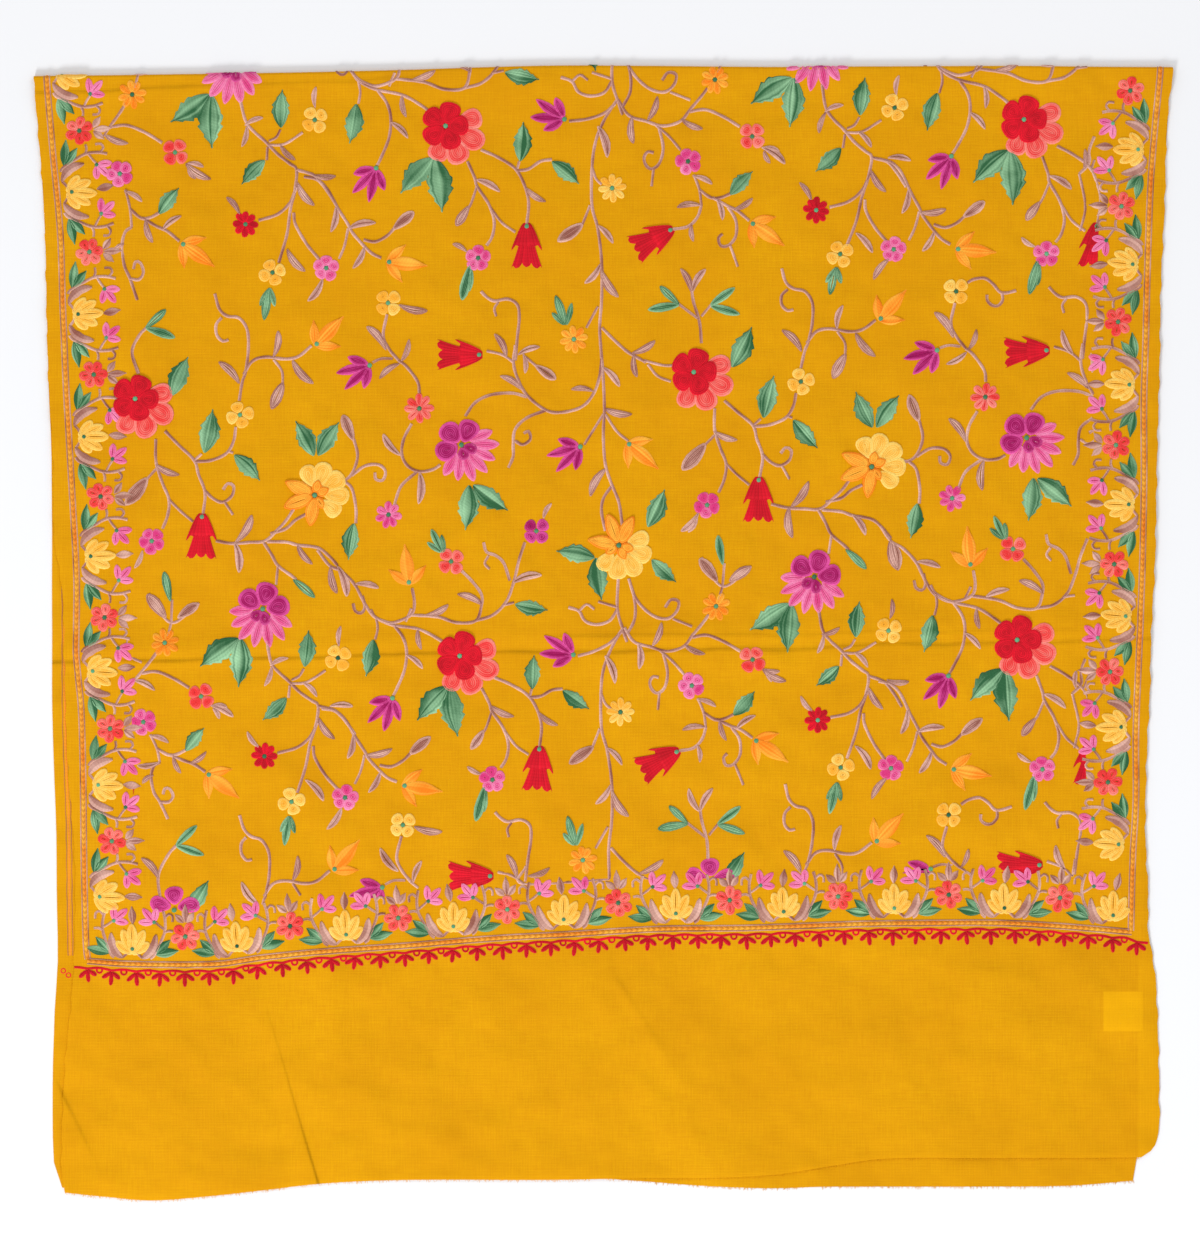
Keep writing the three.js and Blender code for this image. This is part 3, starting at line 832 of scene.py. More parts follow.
leftOut = {  # which copies across go without a part
    "rightOnly": (-1, 0),
    "leftOnly": (0, 1),
    "middleAndRight": (-1,),
    "leftAndMiddle": (1,),
}
leafKinds = {  # yarn, width over length, least width, teeth, room beside the border, bow
    "mauveLeaves": ("mauve", 0.28, 4.9, 0.0, 3, 0.09),
    "budLeaves": ("mauve", 0.42, 8, 0.0, 4, 0.0),
    "greenLeaves": ("green", 0.45, 11.5, 0.42, 8, 0.03),
    "smallGreens": ("green", 0.3, 5.5, 0.0, 4, 0.0),
}
smallFlowers = {  # yarn, petals, radius, petal width
    "pinkRound": ("pink", 5, 12.5, 11),
    "yellowRound": ("yellow", 4, 13, 12),
    "coralRound": ("coral", 4, 13, 12),
    "purpleRound": ("purple", 4, 13, 12),
    "yellowDaisy": ("yellow", 8, 13.5, 6.5),
    "orangeDaisy": ("orange", 8, 13.5, 6.5),
    "redDaisy": ("red", 8, 12.5, 6.5),
    "coralDaisy": ("coral", 8, 14, 7),
    "pinkDaisy": ("pink", 7, 12.5, 7),
}
largeFlowers = {
    "peony": peony,
    "purpleBloom": purpleBloom,
    "yellowBloom": yellowBloom,
    "tulip": tulip,
    "orangeTulip": orangeTulip,
    "bell": bell,
}

# centre lines of the braid that bounds the field
leftBraid = {
    "y": [-301.8, -286, -206, -126, -67, -20, 50, 120, 230, 310, 371, 451, 513, 600],
    "x": [
        -474.3, -476.1, -478, -478.9, -480.7, -484.8, -484.8,
        -488.3, -494.5, -497.7, -500, -507.4, -512, -515,
    ],
}
rightBraid = {
    "y": [-275.1, -206, -153.6, -91, -20, 50, 144, 214, 277, 348, 418, 465, 519, 600],
    "x": [485.3, 487.1, 489.9, 489.9, 492.7, 495.4, 497.3, 497.3, 499.1, 500.9, 503.7, 507.4, 512, 515],
}
bottomBraid = {
    "x": [-474.3, -436, -356, -317, -264, -187, -108, -28, 51, 130, 233, 300, 366, 419, 485.3],
    "y": [
        -301.8, -304.5, -304.5, -299, -293.5, -288, -281.5, -276.9,
        -272.3, -271.4, -267.7, -266.8, -266.8, -269.6, -275.1,
    ],
}


def braidX(side, y):
    return readTable(leftBraid if side == "left" else rightBraid, "y", "x", y)


def braidY(x):
    return readTable(bottomBraid, "x", "y", x)


# the weft sags as the hem's braid does, by less near the fold
grain = {"level": -267.5, "ends": (-474, 480), "atFold": 0.35, "ramp": (-60, 240)}


def grainDrop(x, level):  # how far the weft lies below straight
    sag = grain["level"] - braidY(np.clip(x, *grain["ends"]))
    share = smoothStep(*grain["ramp"], shawl["foldLevel"] - level)
    return sag * (grain["atFold"] + (1 - grain["atFold"]) * share)


def spreadShare(level):
    return np.clip((field["spreadFrom"] - level) / field["spreadOver"], 0, 1)


def fieldPlace(corner, spot, repeatAcross, repeatDown):  # where a charted spot lies in one copy
    x = corner[0] + field["square"] * spot[0]
    y = corner[1] - field["square"] * spot[1]
    share = (x - braidX("left", y)) / (braidX("right", y) - braidX("left", y))
    share += repeatAcross * field["acrossPeriod"]
    level = y
    for _ in range(4):
        level = y + grainDrop(x, level)
    level = level - repeatDown * field["downPeriod"]
    share += field["copySpread"][repeatAcross] * spreadShare(level)
    left, right = braidX("left", level), braidX("right", level)
    placed = left + (right - left) * share
    spot = np.array([float(placed), float(level - grainDrop(placed, level))])
    shift = np.zeros(2)
    for across, down, nearX, nearY, moveX, moveY, reach in copyDrift:
        if (across, down) == (repeatAcross, repeatDown):
            near = math.exp(-((math.hypot(spot[0] - nearX, spot[1] - nearY) / reach) ** 2))
            shift += np.array([moveX, moveY]) * near
    return spot + shift


def insideField(place, margin=0.0, hemMargin=None):
    x, y = place
    room = field["sideMargin"] + margin
    margin = margin if hemMargin is None else hemMargin
    return (
        x > braidX("left", y) + room
        and x < braidX("right", y) - room
        and y > braidY(x) + field["hemMargin"] + margin
        and y < foldY(x) + field["pastFold"]
    )


def cellsOf(spots):
    cells = ((spots + field["cellStart"]) / field["cell"]).astype(int)
    cells = np.clip(cells, 0, field["cells"] - 1)
    return cells[:, 0], cells[:, 1]


def borderCells():  # which small squares of cloth the border's stitches cover
    covered = np.zeros((field["cells"], field["cells"]), bool)
    for store in yarnStores.values():
        if store["faces"]:
            spots = np.concatenate(store["points"])[np.concatenate(store["faces"])]
            covered[cellsOf(np.concatenate([spots.mean(axis=1), spots.reshape(-1, 2)]))] = True
    wider = covered.copy()
    for step in (-1, 1):
        wider |= np.roll(covered, step, axis=0) | np.roll(covered, step, axis=1)
    return wider


def cutAtBorder(before, covered):  # field stitches end short of the braid and run under the border's
    for name, store in yarnStores.items():
        points = np.concatenate(store["points"])
        heights = np.concatenate(store["heights"])
        first = sum(len(some) for some in store["heights"][: before[name]])
        fresh = np.arange(len(points)) >= first
        x, y = points[:, 0], points[:, 1]
        left = braidX("left", y) + field["sideCut"]
        right = braidX("right", y) - field["sideCut"]
        low = braidY(x) + field["hemCut"]
        above = np.zeros(len(points), bool)
        for overX, overY, reach in field["overBorder"]:
            above |= np.hypot(x - overX, y - overY) < reach
        above &= fresh
        past = ((x < left) | (x > right) | (y < low)) & fresh & ~above
        ended = np.stack([np.clip(x, left, right), np.maximum(y, low)], axis=-1)
        points[past] = ended[past]
        under = covered[cellsOf(points)] & fresh & ~above
        heights[above] += field["overHeight"]
        heights[under] = np.minimum(heights[under], field["underHeight"])
        store["points"] = [points]
        store["heights"] = [heights]
        for i in range(before[name], len(store["faces"])):
            store["faces"][i] = store["faces"][i][~past[store["faces"][i]].all(axis=1)]


def hemBlooms():  # blooms that the hem border half covers
    for centre in np.array([(-395, -253), (98, -227)]):
        petalFan("purple", centre, 90, petalRows["hemBloom"], 3, egg=0.3, rim=0.95, inner=0.5, lift=0.2)
        rowLeaf("green", centre + (14, -4), centre + (32, 26), 15, rows=6, teeth=0.3, steps=12)
        knot(centre + (0, -2), 2.4, lift=1.4)


def fieldStems(quarter, place):
    count = 0
    for stem in quarter.get("stems", ()):
        kept = [spot for spot in map(place, stem) if insideField(spot, -3)]
        if len(kept) > 1:
            narrowing = field["shortStem"] if len(kept) < 4 else 1
            stemRows("mauve", kept, field["stemWidth"] * narrowing)
            count += 1
    return count


def fieldLeaves(quarter, place):
    count = 0
    for kind, (yarn, slim, least, teeth, margin, bow) in leafKinds.items():
        for x0, y0, x1, y1 in quarter.get(kind, ()):
            base, tip = place((x0, y0)), place((x1, y1))
            if not (insideField(base, margin) and insideField(tip, margin)):
                continue
            ahead = tip - base
            length = np.linalg.norm(ahead)
            width = max(length * slim, least)
            flip = chance.random() < 0.5
            lean = bow if flip else -bow
            if teeth:
                shades = (0.7, 0.3) if flip else (0.3, 0.7)
                rowLeaf(
                    yarn, base, tip, width,
                    rows=6, shades=shades, teeth=teeth, bow=lean, blunt=0.7, steps=20, lift=0.1,
                )
            else:
                angle = math.degrees(math.atan2(ahead[1], ahead[0]))
                rim, inner = (0.85, 0.35) if flip else (0.55, 0.75)
                ringPetal(
                    yarn, base - ahead / length * 1.5, angle, length + 1.5, width,
                    egg=0.3, point=0.4, rim=rim, inner=inner, lift=0.1, sides=14, bow=lean,
                )
            count += 1
    return count


def fieldFlowers(quarter, place):
    count = 0
    for kind, x, y, turn in quarter.get("flowers", ()):
        centre = place((x, y))
        if not insideField(centre, field["roomBeside"].get(kind, 2), field["roomBelow"].get(kind, 0)):
            continue
        if kind in smallFlowers:
            yarn, petals, radius, width = smallFlowers[kind]
            roundFlower(yarn, centre, petals, radius, width, turn + chance.uniform(-6, 6))
        else:
            largeFlowers[kind](centre, turn + chance.uniform(-3, 3))
        count += 1
    return count


def stitchField():
    count = 0
    before = {name: len(store["faces"]) for name, store in yarnStores.items()}
    covered = borderCells()
    for down, across in itertools.product((-1, 0, 1), repeat=2):
        for part, quarter in fieldChart.items():
            if across in leftOut.get(part, ()):
                continue

            def place(spot):
                return fieldPlace(quarter["corner"], spot, across, down)

            for stitchSome in (fieldStems, fieldLeaves, fieldFlowers):
                count += stitchSome(quarter, place)
    hemBlooms()
    cutAtBorder(before, covered)
    print("field stitched", count, "motifs")


# the border: half a repeat, mirrored about each lotus, measured along and in from the braid

border = {
    "inset": 3.4,  # from the braid's centre line to the foot of the flowers
    "halfRepeat": 50.0,
    "lineOffset": 2.5,
    "braidWidth": 3.1,
    "sideLine": 1.3,  # width of the thin lines beside the braid
    "coralFlower": {"petals": 6, "radius": 13.5, "width": 9.2, "tones": (0.55, 0.35)},
    "coralInward": 22.5,
    "braidRuns": {"left": (525, -300, 90), "right": (528, -274, 90), "bottom": (-475, 486, 100)},
    "leftLotus": [515, 404.8, 292.6, 180.3, 69.9, -35.9, -139.8, -243.0],
    "rightLotus": [444.4, 338.6, 228.2, 117.8, 14.7, -86.5, -195.0],
    "bottomLotus": [-433.8, -335.3, -236, -137.5, -36.3, 66.7, 166.1, 267.3, 368.5, 467.8],
}
borderHalf = {
    "stems": [
        ([(0, 8), (5, 6), (9, 2.5)], 2.4),
        ([(17, 2), (20, 4), (25, 14), (30, 26), (30.5, 37), (28.5, 46)], 2.8),
        ([(30.5, 40), (34, 43), (37.5, 41), (37.5, 36)], 2.3),
        ([(29.5, 29), (25, 32), (21.5, 35)], 2.2),
        ([(30, 26), (34, 27.5), (38, 27)], 2.4),
    ],
    "arcLeaf": [(9, 2), (15, 6), (20, 14), (22, 24)],
    "arcWidth": 8.2,
    "greens": [(21.5, 6, 36, 19.5), (21.5, 5.5, 44, 9.5)],
    "greenWidth": 9.4,
    "bud": (20, 35.5, 135),
    "backLeaf": (33, 50, 8),  # from, to and width, behind the lotus
    "tipLeaves": [(-10.5, 43), (0, 53), (9, 45)],  # lean and reach, above the coral flower
    "tipWidth": 7.2,
}


def borderPlace(side, along, station, inward):  # along from the lotus, inward from the braid
    depth = border["inset"] + inward
    run = station + along
    if side == "bottom":
        slope = float(braidY(run + 3) - braidY(run - 3)) / 6
        return np.array([run - slope * depth, float(braidY(run)) + depth])
    sign = 1 if side == "left" else -1
    slope = float(braidX(side, run + 3) - braidX(side, run - 3)) / 6
    return np.array([float(braidX(side, run)) + sign * depth, run - sign * slope * depth])


def stitchBorderUnit(side, station, stretch, last):  # the last one of a side has one half
    facing = {"bottom": 90, "left": 0, "right": 180}[side]
    middle = border["halfRepeat"]

    def place(along, inward):
        return borderPlace(side, along * stretch, station, inward)

    def turned(direction, mirror):  # a heading given for the bottom border, in this side's sense
        angle = direction if mirror > 0 else 180 - direction
        if side == "bottom":
            return angle
        return 270 - angle if side == "right" else angle - 90

    def leaf(yarn, base, tip, width, rows, shades, **more):
        rowLeaf(yarn, base, tip, width, rows=rows, shades=shades, steps=8, **more)

    lotus(place(0, 5.5), facing + chance.uniform(-4, 4))
    foot, top, width = borderHalf["backLeaf"]
    leaf("mauve", place(0, foot), place(chance.uniform(-3, 3), top), width, 3, (0.6, 0.35))
    for mirror in (-1,) if last else (1, -1):
        for path, width in borderHalf["stems"]:
            stemRows("mauve", [place(mirror * a, b) for a, b in path], width)
        arc = [place(mirror * a, b) for a, b in borderHalf["arcLeaf"]]
        stemRows("mauve", arc, borderHalf["arcWidth"], rows=4, swell=0.8)
        for x0, y0, x1, y1 in borderHalf["greens"]:
            base, tip = place(mirror * x0, y0), place(mirror * x1, y1)
            leaf("green", base, tip, borderHalf["greenWidth"], 4, (0.15, 0.55), blunt=0.7)
        budX, budY, budTurn = borderHalf["bud"]
        angle = turned(budTurn + chance.uniform(-8, 8), mirror)
        pinkBud(place(mirror * budX, budY), angle)
    if not last:
        spot = place(middle, border["coralInward"])
        roundFlower("coral", spot, turn=chance.uniform(0, 60), **border["coralFlower"])
        for lean, far in borderHalf["tipLeaves"]:
            base, tip = place(middle + lean * 0.15, 35), place(middle + lean, far)
            leaf("mauve", base, tip, borderHalf["tipWidth"], 2, (0.6, 0.45))


def stitchBorder():
    for side in ("left", "right", "bottom"):
        stations = border[side + "Lotus"]
        count = len(stations)
        for i, station in enumerate(stations):
            after = min(i + 1, count - 1) if side == "bottom" else max(i, 1)
            stretch = (stations[after] - stations[after - 1]) / (2 * border["halfRepeat"])
            stitchBorderUnit(side, station, stretch, last=i + 1 == count)
        if side == "right":
            above = borderPlace(side, 52, stations[0], border["coralInward"])
            roundFlower("coral", above, turn=20, **border["coralFlower"])
    print("border stitched")


def braidSpot(side, run):
    return (run, float(braidY(run))) if side == "bottom" else (float(braidX(side, run)), run)


def stitchBraid():
    for side, ends in border["braidRuns"].items():
        path = np.array([braidSpot(side, run) for run in np.linspace(*ends)])
        stemRows("braid", path, border["braidWidth"], shades=(0.35, 0.6), height=0.9, slant=2.0)
        ahead = np.gradient(path, axis=0)
        ahead /= np.linalg.norm(ahead, axis=1)[:, None]
        beside = np.stack([-ahead[:, 1], ahead[:, 0]], axis=1)
        for offset in (-border["lineOffset"], border["lineOffset"]):
            stemRows("mauve", path + beside * offset, border["sideLine"], rows=1, height=0.7)
    print("braid stitched")


picot = {
    "ends": (-487.0, 501.0),
    "spacing": 22.45,
    "drop": 5.6,
    "leafWidth": 4.3,
    "line": 2.7,
    "drip": 5.2,
    "leaves": ((-143, 11.0), (-37, 11.0), (-90, 13.0)),  # heading and length
    "sway": 1.5,
    "cornerDrop": 5,  # how far the line sinks at the right corner
    "corner": (478, 505),
}


def stitchPicot():  # red edging: a line, a three-leaf sprig at each step and a small drop between
    start, end = picot["ends"]
    sprigs = np.arange(start + 12, end, picot["spacing"])

    def line(x, down=0.0):
        x = np.asarray(x, float)
        sunk = picot["cornerDrop"] * smoothStep(*picot["corner"], x)
        return np.stack([x, braidY(x) - picot["drop"] - down - sunk], axis=-1)

    xs = np.linspace(start, end, 380)
    swing = np.abs(np.sin(math.pi * (xs - sprigs[0]) / picot["spacing"]))
    path = line(xs)
    path[:, 1] += picot["sway"] * swing - picot["sway"]
    stemRows("red", path, picot["line"], rows=1, shades=(0.4, 0.5))
    for i, x in enumerate(sprigs):
        foot = line(x, 0.4)
        lean = chance.uniform(-9, 9)
        for angle, far in picot["leaves"]:
            far = far * chance.uniform(0.88, 1.08)
            ringPetal(
                "red", foot + (0, -2.2 if far < 13 else 0), angle + lean, far, picot["leafWidth"],
                rim=0.5, inner=0.6, sides=10, lift=0.1,
            )
        if i + 1 < len(sprigs):
            spot = line(x + picot["spacing"] / 2, -0.6)
            turn = np.linspace(0.5, 5.8, 9) + math.pi / 2
            ring = np.stack([np.cos(turn), np.sin(turn)], axis=1) * picot["drip"] / 2
            stemRows("red", spot + ring - (0, picot["drip"] / 2), 2.1, rows=1, shades=(0.4, 0.5), step=1.2)
    print("edging stitched", len(sprigs), "sprigs")


stitchBorder()
stitchBraid()
stitchPicot()
stitchField()


def yarnPiece(name):
    store = yarnStores[name]
    points = np.concatenate(store["points"])
    heights = np.concatenate(store["heights"])
    faces = np.concatenate(store["faces"])
    placed, kept = layOnFace(points, heights)
    faces = faces[kept[faces].all(axis=1)]
    used = np.unique(faces)
    renumber = np.full(len(points), -1)
    renumber[used] = np.arange(len(used))
    floats = {key: np.concatenate(store[key])[used] for key in ("tones", "along")}
    return planPiece(name + "Yarn", placed[used], renumber[faces], floats)


yarnPieces = {name: yarnPiece(name) for name in yarnColours}
total = 0
for name, piece in yarnPieces.items():
    total += len(piece.data.polygons) * 2
    print("  ", piece.name, len(piece.data.polygons) * 2, "triangles")
print("yarn in place,", total, "triangles")


# the wrong side of the stitches, where the lower half shows past the upper one

reverse = {
    "down": (0.3, 0.79),  # where the lines begin and end, as shares of the way down
    "top": 512,
    "drop": 1024,
    "lines": ((9.3, 1.1, 0.1), (11.5, 1.9, 0.9), (13.9, 1.1, 0.1)),  # inset, width, tone
    "low": 1.04,
    "high": 1.3,
    "loops": ((-497.3, -311), (-492.5, -315)),
    "rings": ((2.6, 1.04), (2.1, 1.45), (1.6, 1.04)),  # radius and height across a loop's yarn
    "sides": 16,
}


def reverseLines():
    down = np.linspace(*reverse["down"], 80)
    left = readTable(lowerSides, "down", "left", down)
    y = reverse["top"] - down * reverse["drop"]
    strips, faces, tones, along = [], [], [], []
    for offset, width, tone in reverse["lines"]:
        index = len(strips) * len(y) + np.arange(3 * len(y)).reshape(3, len(y)).T
        faces.append(gridFaces(index)[:, ::-1])
        for q, z in ((-0.5, reverse["low"]), (0, reverse["high"]), (0.5, reverse["low"])):
            sway = 0.25 * np.sin(down * 260 + offset)
            strips.append(np.stack([left + offset + q * width + sway, y, np.full_like(y, z)], axis=1))
            tones.append(tone + 0.1 * np.sin(down * 90))
            along.append(-y)
    floats = {"tones": np.concatenate(tones), "along": np.concatenate(along)}
    return planPiece("reverseStitches", np.concatenate(strips), np.concatenate(faces), floats)


def reverseLoops():  # two loose loops of the red edging, on the lower half
    verts, faces = [], []
    sides = reverse["sides"]
    turn = np.linspace(0, 2 * math.pi, sides, endpoint=False)
    for centreX, centreY in reverse["loops"]:
        index = len(verts) + np.arange(3 * sides).reshape(3, sides)
        faces.append(gridFaces(np.hstack([index, index[:, :1]])))
        for radius, z in reverse["rings"]:
            verts += [(centreX + radius * math.cos(a), centreY + radius * math.sin(a), z) for a in turn]
    flat = np.full(len(verts), 0.7)
    return planPiece("reverseLoops", np.array(verts), np.concatenate(faces), {"tones": flat, "along": flat})


reversePiece = reverseLines()
loopPiece = reverseLoops()
print("reverse side stitched")


# raw hems: short loose ends of yarn

fray = {
    "perSide": 900,
    "length": (0.8, 3.6),
    "width": 0.42,
    "lean": 26,  # spread of the directions, in degrees
    "curl": 0.6,
    "sunk": 0.4,  # where an end begins, under the face and inside the hem
    "lowerLevel": 0.6,
    "tipLevel": 0.3,  # the ends lean half way down to this height
    "hems": (("upperHem", upperSides, 0.0), ("lowerHem", lowerSides, 0.52)),  # from which share across
}


def makeFray():
    verts, faces = [], []
    for hem, sides, low in fray["hems"]:
        for share in np.sort(chance.uniform(low, 1, int(fray["perSide"] * (1 - low)))):
            x, y = planPoints(sides, hem, np.array([share]), np.array([1.0]))
            z = upperTop(x, y)[0] - fray["sunk"] if hem == "upperHem" else fray["lowerLevel"]
            length = chance.uniform(*fray["length"])
            lean = math.radians(-90 + chance.normal(0, fray["lean"]))
            curl = chance.uniform(-fray["curl"], fray["curl"])
            start = np.array([x[0], y[0] + fray["sunk"]])
            faces.append(gridFaces(len(verts) + np.arange(6).reshape(3, 2))[:, [0, 3, 2, 1]])
            for t in (0, 0.5, 1):
                turn = lean + curl * t
                spot = start + length * t * np.array([math.cos(turn), math.sin(turn)])
                half = fray["width"] * (1 - 0.6 * t) / 2
                level = z - (z - fray["tipLevel"]) * 0.5 * t
                verts += [(spot[0] - half, spot[1], level), (spot[0] + half, spot[1], level)]
    return planPiece("hemFray", np.array(verts), np.concatenate(faces))


frayPiece = makeFray()
print("hems frayed")


# materials

def linear(colour):
    return tuple(((c / 255 + 0.055) / 1.055) ** 2.4 if c > 10 else c / 255 / 12.92 for c in colour) + (1.0,)


def newGroup(name, inputs, outputs):  # an input without a number takes a vector
    group = bpy.data.node_groups.new(name, "ShaderNodeTree")
    for label, value in inputs.items():
        kind = "NodeSocketVector" if value is None else "NodeSocketFloat"
        socket = group.interface.new_socket(label, in_out="INPUT", socket_type=kind)
        if value is not None:
            socket.default_value = value
    for label in outputs:
        group.interface.new_socket(label, in_out="OUTPUT", socket_type="NodeSocketFloat")
    return group, group.nodes.new("NodeGroupInput").outputs, group.nodes.new("NodeGroupOutput").inputs


def setSocket(tree, socket, value):  # a constant, or a link from another socket
    if isinstance(value, bpy.types.NodeSocket):
        tree.links.new(value, socket)
    elif value is not None:
        socket.default_value = value


def newNode(tree, kind, inputs=None, **settings):
    node = tree.nodes.new("ShaderNode" + kind)
    for label, value in settings.items():
        setattr(node, label, value)
    for label, value in (inputs or {}).items():
        setSocket(tree, node.inputs[label], value)
    return node


def mathNode(tree, operation, a, b=None, clamp=False):
    node = newNode(tree, "Math", operation=operation, use_clamp=clamp)
    setSocket(tree, node.inputs[0], a)
    setSocket(tree, node.inputs[1], b)
    return node.outputs[0]


def add(tree, a, b, clamp=False):
    return mathNode(tree, "ADD", a, b, clamp)


def subtract(tree, a, b):
    return mathNode(tree, "SUBTRACT", a, b)


def multiply(tree, a, b):
    return mathNode(tree, "MULTIPLY", a, b)


def mixColour(tree, factor, a, b):
    node = newNode(tree, "Mix", data_type="RGBA")
    for label, value in (("Factor_Float", factor), ("A_Color", a), ("B_Color", b)):
        setSocket(tree, next(s for s in node.inputs if s.identifier == label), value)
    return next(s for s in node.outputs if s.identifier == "Result_Color")


def noiseNode(tree, vector, scale, detail, roughness=0.5):
    inputs = {"Vector": vector, "Scale": scale, "Detail": detail, "Roughness": roughness}
    return newNode(tree, "TexNoise", inputs).outputs["Fac"]


def bumpNode(tree, height, strength, distance, normal=None):
    inputs = {"Height": height, "Strength": strength, "Distance": distance, "Normal": normal}
    return newNode(tree, "Bump", inputs).outputs["Normal"]


clothLook = {  # lengths in metres
    "deep": (208, 136, 0),
    "mid": (240, 174, 0),
    "light": (255, 202, 4),
    "paintedShadeBetween": (186, 118, 4),  # painted shade between the threads
    "through": (255, 190, 6),  # painted light: colour where light from the label or the pale floor shows through the cloth
    "shader": {"Roughness": 0.85, "Specular IOR Level": 0.1},
    "midShare": 0.4,
    "slub": 0.9,
    "threadShadeShare": 0.42,
    "bump": (0.45, 0.0003),  # strength and distance
    "pucker": 0.008,
    "creaseStep": 0.0014,
    "creaseReach": 0.013,
    "sway": 0.012,  # how far the creases stray from straight
    "lowerEdgeX": 0.4912,  # right of this only one layer lies on the pale floor
    "lowerEdgeY": -0.29,
    "edgeSoft": (0.0015, 0.02),  # how softly the strip of painted light begins, across and down
    "stripLightThrough": 0.16,
    "labelLightThrough": 0.36,
    "labelSoft": (0.0008, 0.0012),  # inside and outside the label's edge
    "slubRelief": 0.8,
}
yarnLook = {
    "shader": {
        "Roughness": 0.7, "Specular IOR Level": 0.2, "Sheen Weight": 0.06, "Sheen Roughness": 0.5,
    },
    "dye": 0.7,
    "dyeScale": 70.0,
    "fibre": 0.5,
    "fibreScale": 1600.0,
    "linkRelief": 0.6,
    "betweenLinksShade": 0.62,
    "bump": (0.4, 0.0003),  # strength and distance in metres
    "fineLinks": (3.0, 0.1),  # length in millimetres and strength of the painted shade between links
    "braidLinks": (5.2, 0.5),
    "reverse": ((176, 112, 60), (250, 150, 30)),
}
weaveLook = {
    "threads": 700.0,  # scale of the threads, over that of the waves below
    "waveScale": 0.32,
    "waver": 1.4,
    "slubLong": 60,  # a slub is long along its thread and short across it
    "slubShort": 900,
    "cloud": 9.0,
    "pucker": (10.0, 27.0, 0.45),  # scales of the broad and the fine pucker, share of the fine one
}


def weaveGroup():
    group, inside, outside = newGroup(
        "fineWeave",
        {"Place": None, "Threads": weaveLook["threads"]},
        ("Weave", "Cloud", "Slub", "Pucker"),
    )
    place = inside["Place"]
    inputs = {0: place, "Scale": inside["Threads"]}
    scaled = newNode(group, "VectorMath", inputs, operation="SCALE").outputs["Vector"]
    waves = {
        "Vector": scaled, "Scale": weaveLook["waveScale"], "Distortion": weaveLook["waver"],
        "Detail": 1.5, "Detail Scale": 1.2,
    }
    threads = [newNode(group, "TexWave", waves, bands_direction=way).outputs["Fac"] for way in ("X", "Y")]
    setSocket(group, outside["Weave"], multiply(group, add(group, *threads), 0.5))
    slubs = []
    long, short = weaveLook["slubLong"], weaveLook["slubShort"]
    for scale in ((long, short, long), (short, long, long)):
        drawn = newNode(group, "Mapping", {"Vector": place, "Scale": scale}).outputs["Vector"]
        slubs.append(noiseNode(group, drawn, 1.0, 1.0))
    setSocket(group, outside["Slub"], multiply(group, add(group, *slubs), 0.5))
    setSocket(group, outside["Cloud"], noiseNode(group, place, weaveLook["cloud"], 3.0))
    broad, fine, share = weaveLook["pucker"]
    soft = multiply(group, noiseNode(group, place, fine, 1.0), share)
    setSocket(group, outside["Pucker"], add(group, noiseNode(group, place, broad, 1.0), soft))
    return group


def chainGroup():
    group, inside, outside = newGroup(
        "chainLinks",
        {"Along": 0.0, "Link Length": 3.0, "Place": None},
        ("Link", "Fibre", "Dye"),
    )
    share = mathNode(group, "DIVIDE", inside["Along"], inside["Link Length"])
    wave = mathNode(group, "SINE", multiply(group, share, 2 * math.pi))
    setSocket(group, outside["Link"], add(group, multiply(group, wave, 0.5), 0.5))
    setSocket(group, outside["Fibre"], noiseNode(group, inside["Place"], yarnLook["fibreScale"], 2.0, 0.6))
    setSocket(group, outside["Dye"], noiseNode(group, inside["Place"], yarnLook["dyeScale"], 1.0))
    return group


def newMaterial(name, looks):
    material = bpy.data.materials.new(name)
    material.use_nodes = True
    tree = material.node_tree
    shader = tree.nodes["Principled BSDF"]
    for label, value in looks.items():
        shader.inputs[label].default_value = value
    return material, tree, shader


def placeSocket(tree):
    return tree.nodes.new("ShaderNodeTexCoord").outputs["Object"]


def rampBetween(tree, value, low, high):
    inputs = {"Value": value, "From Min": low, "From Max": high}
    return newNode(tree, "MapRange", inputs, interpolation_type="SMOOTHSTEP").outputs["Result"]


creaseLines = [  # pressed steps, high on the left going along: from, to, half width, strength at each end
    (506, -6, -506, -27, 2.2, 0.6, 0.9),
    (430, 3, -40, -3, 2.2, 0.3, 0.5),
    (-262, -507, -308, -350, 1.3, 0.8, 0.1),
    (-466, -489, -498, -424, 2.0, 0.1, 0.6),
    (80, -421, 18, -326, 3.0, 0.0, 0.4),
    (-172, 510, -515, 497, 2.0, 0.3, 0.6),
]


